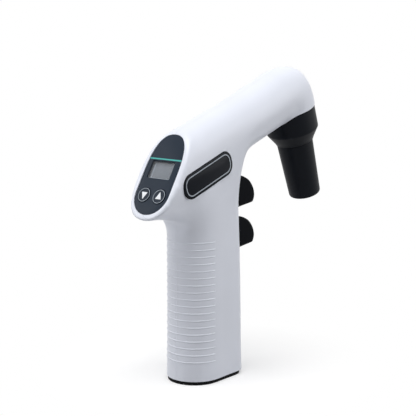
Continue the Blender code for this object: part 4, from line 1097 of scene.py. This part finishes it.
@dataclass
class DisplayPanel:
    """The dark panel in the barrel's rear end: its plate, display, two keys and printing."""

    half_width: float = 0.0130
    top: float = 0.0243
    bottom: float = 0.0273
    face: float = -0.0003
    thickness: float = 0.0014
    ledge: float = 0.0014
    gap: float = 0.00015
    edge: float = 0.00022
    square: float = 0.8
    screen: tuple[float, float] = (0.0175, 0.0112)
    screen_middle: tuple[float, float] = (-0.0007, 0.00135)
    window_top: float = -0.0009
    window_bottom: float = -0.0017
    mask: tuple[float, float] = (-0.00205, -0.00200)
    mask_width: float = 0.0003
    key_radius: float = 0.0045
    key_gap: float = 0.00016
    key_spread: float = 0.00587
    key_drop: float = 0.0153
    deep: float = -0.0030
    key_foot: float = -0.0030
    key_tail: float = -0.0044
    key_lip: float = 0.0007
    ring_inset: float = 0.00025
    ring_width: float = 0.00025
    print_height: float = 0.00016
    arrow_size: float = 0.0029
    line_height: float = 0.0082
    line_width: float = 0.00085

    def outline(self, grow: float = 0.0, count: int = 28) -> Outline:
        """A half circle below, straight sides, and a narrower round top."""
        half = self.half_width + grow
        middle = (self.top - self.bottom) / 2
        high = self.top + grow - middle
        made = arc((0.0, -self.bottom + self.half_width), half, 180, 360, 2 * count)
        for k in range(2 * count + 1):
            angle = math.pi * k / (2 * count)
            across = math.copysign(abs(math.cos(angle)) ** self.square, math.cos(angle))
            up = max(math.sin(angle), 0.0) ** self.square
            made.append((half * across, middle + high * up))
        return made

    def seat(self) -> bpy.types.Object:
        """The frame inside the housing that the panel lies on."""
        return slab("frame", self.outline(0.0015), -0.0046, -0.0016, LAYOUT.panel)

    def openings(self) -> tuple[bpy.types.Object, bpy.types.Object]:
        """The cutters of the panel's pocket and of the opening behind it."""
        pocket = slab("pocket", self.outline(self.gap), -0.0019, -0.0002, LAYOUT.panel, flare=0.00015)
        return pocket, slab("opening", self.outline(-self.ledge), -0.0060, 0.0050, LAYOUT.panel)

    def key_frame(self, side: int) -> Matrix:
        """The frame of one key: +1 is the right-hand one."""
        return LAYOUT.panel @ Matrix.Translation((side * self.key_spread, -self.key_drop, 0.0))

    def build(self) -> None:
        """Makes the plate, the window, the keys and what is printed."""
        top = self.face
        plate = slab("panel_plate", self.outline(), top - self.thickness, top, LAYOUT.panel, self.edge, 2)
        at = LAYOUT.panel @ Matrix.Translation((*self.screen_middle, 0.0))
        opening = self.screen_outline(0.0, 0.0005)
        carve(plate, slab("hole", opening, self.deep, top - 0.0001, at, flare=0.00012))
        bore, low, high = self.key_radius + self.key_gap, top - 0.0002, top + 0.0002
        hole = [(0.0, self.deep), (bore, self.deep), (bore, low), (bore + 0.0004, high), (0.0, high)]
        for side in (-1, 1):
            carve(plate, turned("key_hole", hole, self.key_frame(side), 64))
        complete(plate, PANEL_NAVY, stands_for=["display_panel"])
        rim, ends = self.screen_outline(0.0001, 0.0004), (self.window_bottom, self.window_top)
        window = slab("screen_window", rim, *ends, at, 0.0001, 2)
        complete(window, WINDOW_CLEAR, stands_for=["display_window"])
        mask = slab("screen_mask", self.screen_outline(0.0002, 0.0004), *self.mask, at)
        inner = self.screen_outline(0.0002 + self.mask_width, 0.0003)
        complete(carve(mask, slab("mask_hole", inner, self.deep, -0.0010, at)), PANEL_NAVY)
        for side, name in ((-1, "slower"), (1, "faster")):
            self.key(side, name, f"{name}_key")
        complete(self.line_strip(), PRINT_TEAL)

    def screen_outline(self, inset: float, corner: float) -> Outline:
        """The outline of the display's opening, drawn in."""
        return oblong(self.screen[0] / 2 - inset, self.screen[1] / 2 - inset, corner)

    def line_strip(self) -> bpy.types.Object:
        """The teal line across the panel above the display, ending at the panel's edge."""
        low, high = self.line_height - self.line_width / 2, self.line_height + self.line_width / 2
        reach = self.half_width + 0.002
        outline = [(-reach, low), (reach, low), (reach, high), (-reach, high)]
        strip = slab("teal_line", outline, self.face - 0.0001, self.face + 0.00005, LAYOUT.panel)
        ends = slab("line_ends", self.outline(-0.00025), self.deep, -self.deep, LAYOUT.panel)
        return carve(strip, ends, way="INTERSECT")

    def key(self, side: int, name: str, body: str) -> None:
        """One round key with its printed ring and its arrow: up on the right, down on the left."""
        radius, at, lip = self.key_radius, self.key_frame(side), self.key_radius + self.key_lip
        corners = [
            (0.0, 0.0001, 0.0),
            (radius * 0.72, 0.0000, 0.0010),
            (radius - 0.0001, 0.0001, 0.00025),
            (radius, -0.0020, 0.0),
            (lip, -0.0020, 0.0),
            (lip, self.key_foot, 0.0),
            (0.0015, self.key_foot, 0.0),
            (0.0013, self.key_tail, 0.0),
            (0.0, self.key_tail, 0.0),
        ]
        complete(turned(f"key_cap_{name}", fillet(corners), at), KEY_NAVY, body, [f"key_{name}"])
        outer, high = radius - self.ring_inset, self.print_height
        inner = outer - self.ring_width
        rim = [(outer, 0.0), (outer, high), (inner, high), (inner, 0.0)]
        complete(turned(f"key_ring_{name}", rim, at), PRINT_SILVER, body)
        size, angles = self.arrow_size, [math.radians(a) for a in (0.0, 125.0, 235.0)]
        arrow = fillet([(size * math.sin(a) * 0.92, size * math.cos(a) * side, 0.0002) for a in angles], 3)
        complete(slab(f"key_arrow_{name}", arrow[::side], 0.0, high, at), PRINT_WHITE, body)


# Badge


@dataclass
class Badge:
    """The glossy black plate let into the right-hand side, left bare but for its printed border."""

    length: float = 0.0450
    width: float = 0.0152
    thickness: float = 0.00133
    along: float = -0.0176
    drop: float = 0.0099
    seat: float = 0.0164
    gap: float = 0.00012
    corner: float = 0.0067
    edge: float = 0.00035
    border_inset: float = 0.0017
    border_width: float = 0.00062
    border_height: float = 0.00006

    @property
    def at(self) -> Matrix:
        """The badge's frame: x along the barrel, z out of the housing."""
        return frame_of(LAYOUT.at_head(self.along, -self.drop), LAYOUT.forward, RIGHT)

    def outline(self, grow: float) -> Outline:
        """The badge's outline, made larger by grow."""
        return oblong(self.length / 2 + grow, self.width / 2 + grow, self.corner + grow, 14)

    def pocket(self) -> bpy.types.Object:
        """The cutter of the pocket that the badge sits in."""
        return slab("badge_pocket", self.outline(self.gap), self.seat - self.gap, AWAY, self.at)

    def build(self) -> None:
        """Makes the plate and its border."""
        top = self.seat + self.thickness
        plate = slab("badge_plate", self.outline(0.0), self.seat, top, self.at, self.edge, 3)
        complete(plate, BADGE_BLACK, stands_for=["badge_right"])
        outer, inner = self.outline(-self.border_inset), self.outline(-self.border_inset - self.border_width)
        border = slab("badge_border", outer, top - 0.0001, top + self.border_height, self.at)
        complete(carve(border, slab("border_hole", inner, 0.0, AWAY, self.at)), PRINT_SILVER)


# Nose


@dataclass
class Nose:
    """The black nose: the collar that the housing holds, and the cone screwed onto it."""

    collar_radius: float = 0.0174
    collar_band: float = 0.0083
    collar_top: float = 0.0290
    collar_wall: float = 0.0028
    neck_radius: float = 0.0123
    spigot_radius: float = 0.0100
    spigot_length: float = 0.0085
    spigot_wall: float = 0.0024
    thread_pitch: float = 0.0014
    thread_height: float = 0.00028
    seal_groove: tuple[float, float, float] = (-0.0046, -0.0064, 0.0010)
    hub_radius: float = 0.0050
    hub_top: float = 0.0110
    hub_foot: float = -0.0070
    hub_floor: float = 0.0020
    hub_web: float = 0.0042
    cone_length: float = 0.03905
    tip_radius: float = 0.01062
    tip_edge: float = 0.0025
    cone_wall: float = 0.0016
    mouth_radius: float = 0.0072
    bore: float = 0.0016
    beads: tuple[float, float] = (-0.0322, -0.0282)

    def build(self, housing: Housing) -> None:
        """Makes the collar, the cone and the silicone piece in its mouth."""
        complete(self.collar(housing), NOSE_BLACK, stands_for=["nose_holder"])
        complete(self.cone(), NOSE_BLACK, "nose_shell", ["nose_cone"])
        complete(self.adapter(), SILICONE, "nose_insert", ["pipette_adapter"])

    def collar(self, housing: Housing) -> bpy.types.Object:
        """The collar: a band of the barrel's width, a taper to the neck, and a threaded spigot."""
        outer, spigot, hub = self.collar_radius, self.spigot_radius, self.hub_radius
        inner, foot = outer - self.collar_wall, -self.spigot_length
        corners = [
            (outer, self.collar_top, 0.0),
            (outer, self.collar_band, 0.0016),
            (self.neck_radius + 0.0009, 0.0014, 0.0012),
            (self.neck_radius + 0.0003, 0.0, 0.0002),
            (spigot, 0.0, 0.0),
            *self.thread(spigot),
            (spigot, foot, 0.0003),
            (spigot - self.spigot_wall, foot, 0.0003),
            (spigot - self.spigot_wall, self.hub_floor, 0.0004),
            (hub, self.hub_floor, 0.0004),
            (hub, self.hub_foot, 0.0004),
            (self.bore, self.hub_foot, 0.0003),
            (self.bore, self.hub_top, 0.0002),
            (hub - 0.0012, self.hub_top, 0.0003),
            (hub, self.hub_web, 0.0),
            (spigot + 0.0006, self.hub_web, 0.0),
            (inner, self.collar_band + 0.0010, 0.0005),
            (inner, self.collar_top, 0.0),
        ]
        holder = turned("nose_collar", fillet(corners), LAYOUT.nose, 96)
        return carve(holder, housing.nose_side("collar_side", 0.00012, False))

    def thread(self, radius: float) -> list[tuple[float, float, float]]:
        """The rings of the spigot's thread and the groove of its seal, as profile corners."""
        crest, (high, low, depth) = radius + self.thread_height, self.seal_groove
        made = []
        for z in (-0.0010, -0.0010 - self.thread_pitch):
            made += [(radius, z, 0.0), (crest, z - 0.0003, 0.0001), (crest, z - 0.0006, 0.0001)]
            made.append((radius, z - 0.0009, 0.0))
        made += [(radius, high, 0.0), (radius - depth, high, 0.0)]
        return made + [(radius - depth, low, 0.0), (radius, low, 0.0)]

    def cone(self) -> bpy.types.Object:
        """The cone, open at both ends, with a rounded lower rim."""
        tip, bore = -self.cone_length, self.spigot_radius + 0.0005
        corners = [
            (self.neck_radius - 0.0002, -0.0003, 0.0004),
            (self.tip_radius, tip, self.tip_edge),
            (self.mouth_radius, tip, 0.0005),
            (self.mouth_radius, tip + 0.0020, 0.0),
            (self.tip_radius - self.cone_wall, tip + 0.0020, 0.0),
            (bore - 0.0003, -0.0220, 0.0),
            (bore, -0.0100, 0.0),
            (bore, -0.0003, 0.0002),
        ]
        return turned("cone", fillet(corners, 6), LAYOUT.nose, 96)

    def adapter(self) -> bpy.types.Object:
        """The silicone funnel that grips a pipette's end, with two beads inside it."""
        tip, throat, grip = -self.cone_length, 0.0024, 0.0042
        outer, mouth = self.tip_radius - self.cone_wall - 0.0003, self.mouth_radius - 0.0003
        corners = [
            (throat, -0.0170, 0.0),
            (outer, -0.0170, 0.0004),
            (outer, tip + 0.0023, 0.0),
            (mouth, tip + 0.0023, 0.0),
            (mouth, tip + 0.0004, 0.0004),
            (0.0052, tip + 0.0004, 0.0005),
            (0.0044, tip + 0.0030, 0.0008),
        ]
        for z in self.beads:
            corners += [(grip, z - 0.0008, 0.0), (grip + 0.0004, z, 0.0002), (grip, z + 0.0008, 0.0)]
        corners += [(grip, -0.0250, 0.0010), (throat, -0.0220, 0.0005)]
        return turned("adapter", fillet(corners, 4), LAYOUT.nose, 64)


# Triggers


@dataclass
class Triggers:
    """The two black finger triggers on the front of the grip, with their springs."""

    top: float = 0.1135
    pitch: float = 0.0258
    height: float = 0.0208
    half_width: float = 0.0092
    reach: float = 0.0192
    face: float = 0.0229
    corner: float = 0.0030
    gap: float = 0.00022
    travel: float = 0.0050
    flange_front: float = 0.0193
    flange: float = 0.0018
    window_floor: float = 0.0170
    spring_radius: float = 0.0038
    spring_wire: float = 0.0006
    spring_turns: int = 5

    @property
    def heights(self) -> tuple[float, float]:
        """The heights of the two triggers' middles, the upper one first."""
        return self.top, self.top - self.pitch

    def facing(self, x: float, height: float) -> Matrix:
        """A frame at the grip's front that faces forward."""
        return frame_of(Vector((x, 0.0, height)), LEFT, AHEAD)

    def window(self, height: float) -> bpy.types.Object:
        """The cutter of the opening that one trigger moves in, with its edges eased."""
        outline = oblong(self.half_width + self.gap, self.height / 2 + self.gap, 0.0012)
        at, deep = self.facing(self.window_floor, height), self.face - self.window_floor - 0.0001
        return slab("trigger_window", outline, 0.0, deep, at, flare=0.0003)

    def profile(self) -> list[tuple[float, float, float]]:
        """The side outline: distance from the grip's face, height from the middle, and rounding."""
        half, reach = self.height / 2, self.reach
        return [
            (-0.0045, -half, 0.0),
            (0.0010, -half * 0.98, 0.004),
            (reach - 0.0018, -half * 0.80, 0.0020),
            (reach + 0.0001, -half * 0.40, 0.0120),
            (reach - 0.0010, half * 0.10, 0.0120),
            (reach - 0.0052, half * 0.62, 0.0120),
            (reach - 0.0120, half * 0.93, 0.0200),
            (0.0010, half, 0.004),
            (-0.0045, half, 0.0),
        ]

    def build(self) -> None:
        """Makes both triggers, each with the flange that keeps it in the housing, and their springs."""
        side, outline = self.half_width, fillet(self.profile(), 6)
        for name, height in zip(("upper", "lower"), self.heights):
            piece = slab(f"trigger_{name}_cap", outline, -side, side, Matrix.Identity(4))
            with editing(piece):
                choose(piece, lambda m, d: abs(abs(m.z) - side) < TOUCH and abs(d.z) < 0.01 and m.x > -0.004)
                bpy.ops.mesh.bevel(
                    offset=self.corner, segments=7, profile=0.5, affect="EDGES", clamp_overlap=True
                )
            piece.data.transform(frame_of(Vector((self.face, 0.0, height)), AHEAD, RIGHT))
            tidy_mesh(piece)
            rim = oblong(side + 0.0006, self.height / 2 + 0.0008, 0.0010)
            behind = self.facing(self.flange_front - self.flange, height)
            carve(piece, slab("flange", rim, 0.0, self.flange, behind), way="UNION")
            complete(piece, TRIGGER_BLACK, f"{name}_trigger", [f"trigger_{name}"], 30.0)
            self.spring(name, height)

    def spring(self, name: str, height: float) -> None:
        """The coil behind one trigger; on the real controller it shortens as the trigger is pressed."""
        low, high = (corner[0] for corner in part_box(f"spring_{name}"))
        wire, length, turns = self.spring_wire / 2, high - low, self.spring_turns
        circle = arc((self.spring_radius, low + wire), wire, 0.0, 360.0, 12)[:12]
        coil = ring(f"trigger_spring_{name}", [Vector((x, r, 0.0)) for r, x in circle])
        bpy.ops.object.mode_set(mode="OBJECT")
        pitch = (length - 2 * wire) / turns
        apply(coil, "SCREW", axis="X", screw_offset=pitch, iterations=turns, steps=24, render_steps=24)
        close_holes(coil)
        coil.data.transform(Matrix.Translation(UP * height))
        tidy_mesh(coil)
        complete(coil, STEEL, BODY, [f"spring_{name}"])
        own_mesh(coil)


# Studio


@dataclass
class Studio:
    """The plain pale floor, the soft lamps and the camera at the photograph's angle."""

    place: tuple[float, float, float] = (-0.4998, -0.4319, 0.2152)
    turn: tuple[float, float, float] = (80.57, 0.0, -49.53)
    lens: float = 95.1
    target: tuple[float, float, float] = (0.02, 0.0, 0.09)
    sky: float = 0.20
    sky_blue: float = 1.04
    floor_size: float = 12.0
    floor_drop: float = 0.00005
    floor_grey: float = 0.50
    floor_tones: tuple[float, float] = (0.74, 0.76)
    floor_lift: float = 0.30
    shadow_centre: tuple[float, float, float] = (0.02, 0.01, 0.0)
    shadow_reach: tuple[float, float] = (0.02, 0.115)
    shadow_share: float = 0.9
    lamp_size: float = 0.9
    lamps: tuple[tuple[str, tuple[float, float, float], float], ...] = (
        ("lamp_top", (-0.28, -0.08, 1.35), 14.7),
        ("lamp_left", (-0.80, 0.85, 0.50), 4.4),
        ("lamp_right", (0.75, -0.95, 0.45), 4.5),
    )

    def build(self) -> None:
        """Makes the camera, the floor, the lamps and the world."""
        scene = bpy.context.scene
        scene.view_settings.view_transform = "Standard"
        lens = bpy.data.cameras.new("camera")
        lens.lens, lens.sensor_width = self.lens, 36.0
        lens.clip_start, lens.clip_end = 0.02, 50.0
        scene.camera = self.put("camera", lens, self.place)
        scene.camera.rotation_euler = [math.radians(a) for a in self.turn]
        put_down()
        bpy.ops.mesh.primitive_plane_add(size=self.floor_size, location=(0.0, 0.0, -self.floor_drop))
        floor = bpy.context.active_object
        floor.name = "floor"
        floor.data.materials.append(self.floor_material())
        for name, place, power in self.lamps:
            lamp = bpy.data.lights.new(name, "AREA")
            lamp.shape, lamp.size, lamp.energy = "SQUARE", self.lamp_size, power
            way = Vector(self.target) - Vector(place)
            self.put(name, lamp, place).rotation_euler = way.to_track_quat("-Z", "Y").to_euler()
        self.world()

    @staticmethod
    def put(name: str, data: Any, place: Sequence[float]) -> bpy.types.Object:
        """A new object of a camera's or a lamp's data, at its place."""
        obj = bpy.data.objects.new(name, data)
        obj.location = place
        bpy.context.scene.collection.objects.link(obj)
        return obj

    def floor_material(self) -> bpy.types.Material:
        """A pale floor, white to the camera except where the object's shadow lies on it."""
        made = bpy.data.materials.new("pale_floor")
        graph = Graph(made)
        here, seen = graph.place(), graph.seen()
        sockets = {0: here, 1: self.shadow_centre}
        far = graph.node("ShaderNodeVectorMath", {"operation": "DISTANCE"}, sockets, "Value")
        near = 1.0 - far.band(*self.shadow_reach)
        grey, dark, light, lift = ((x,) * 3 for x in (self.floor_grey, *self.floor_tones, self.floor_lift))
        graph.set(
            Base_Color=graph.blend(seen, grey, graph.blend(graph.noise(here, 9.0), dark, light)),
            Emission_Color=graph.blend(seen, (0.0, 0.0, 0.0), lift),
            Emission_Strength=1.0,
            Roughness=0.9,
            Specular_IOR_Level=0.0,
        )
        white = graph.node("ShaderNodeEmission", {}, {"Color": (1.0, 1.0, 1.0, 1.0), "Strength": 1.0})
        graph.show(seen * (1.0 - near * self.shadow_share), white)
        return made

    def world(self) -> None:
        """A soft even sky that is white where it is seen."""
        world = bpy.context.scene.world = bpy.data.worlds.new("studio")
        graph = Graph(world, "ShaderNodeBackground", "ShaderNodeOutputWorld")
        graph.set(Color=(self.sky, self.sky, self.sky * self.sky_blue, 1.0))
        graph.show(graph.seen(), graph.node("ShaderNodeBackground", {}, {"Color": (1.0, 1.0, 1.0, 1.0)}))


# Nodes carried over

CARRIED: dict[Finish, tuple[str, ...]] = {
    SCREEN_GREY: ("display_module",),
    BOARD_GREEN: ("main_board", "charging_board"),
    RUBBER_BLACK: ("nose_seal", "base_cover"),
    FILTER_PALE: ("membrane_filter", "pump_cover"),
    VALVE_GREY: ("pump_frame", "pump_rotor", "valve_block"),
    MOTOR_CAN: ("pump_motor",),
    CELL_WRAP: ("battery_cell",),
    SILICONE: ("pump_tube", "nose_tube"),
    STEEL: (
        "switch_slower",
        "switch_faster",
        "charging_socket",
        "valve_stem_upper",
        "valve_stem_lower",
        "base_screw_left",
        "base_screw_right",
        "screw_grip_low",
        "screw_grip_high",
        "screw_barrel_rear",
        "screw_barrel_front",
    ),
}


def main() -> None:
    """Builds the controller's pieces in order, and the studio round them."""
    put_down()
    for finish, nodes in CARRIED.items():
        for node in nodes:
            dress(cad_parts[node], finish)
    panel, triggers, badge, nose, housing = DisplayPanel(), Triggers(), Badge(), Nose(), Housing()
    housing.build(panel, triggers, badge)
    panel.build()
    badge.build()
    nose.build(housing)
    triggers.build()
    Studio().build()


if __name__ == "__main__":
    main()
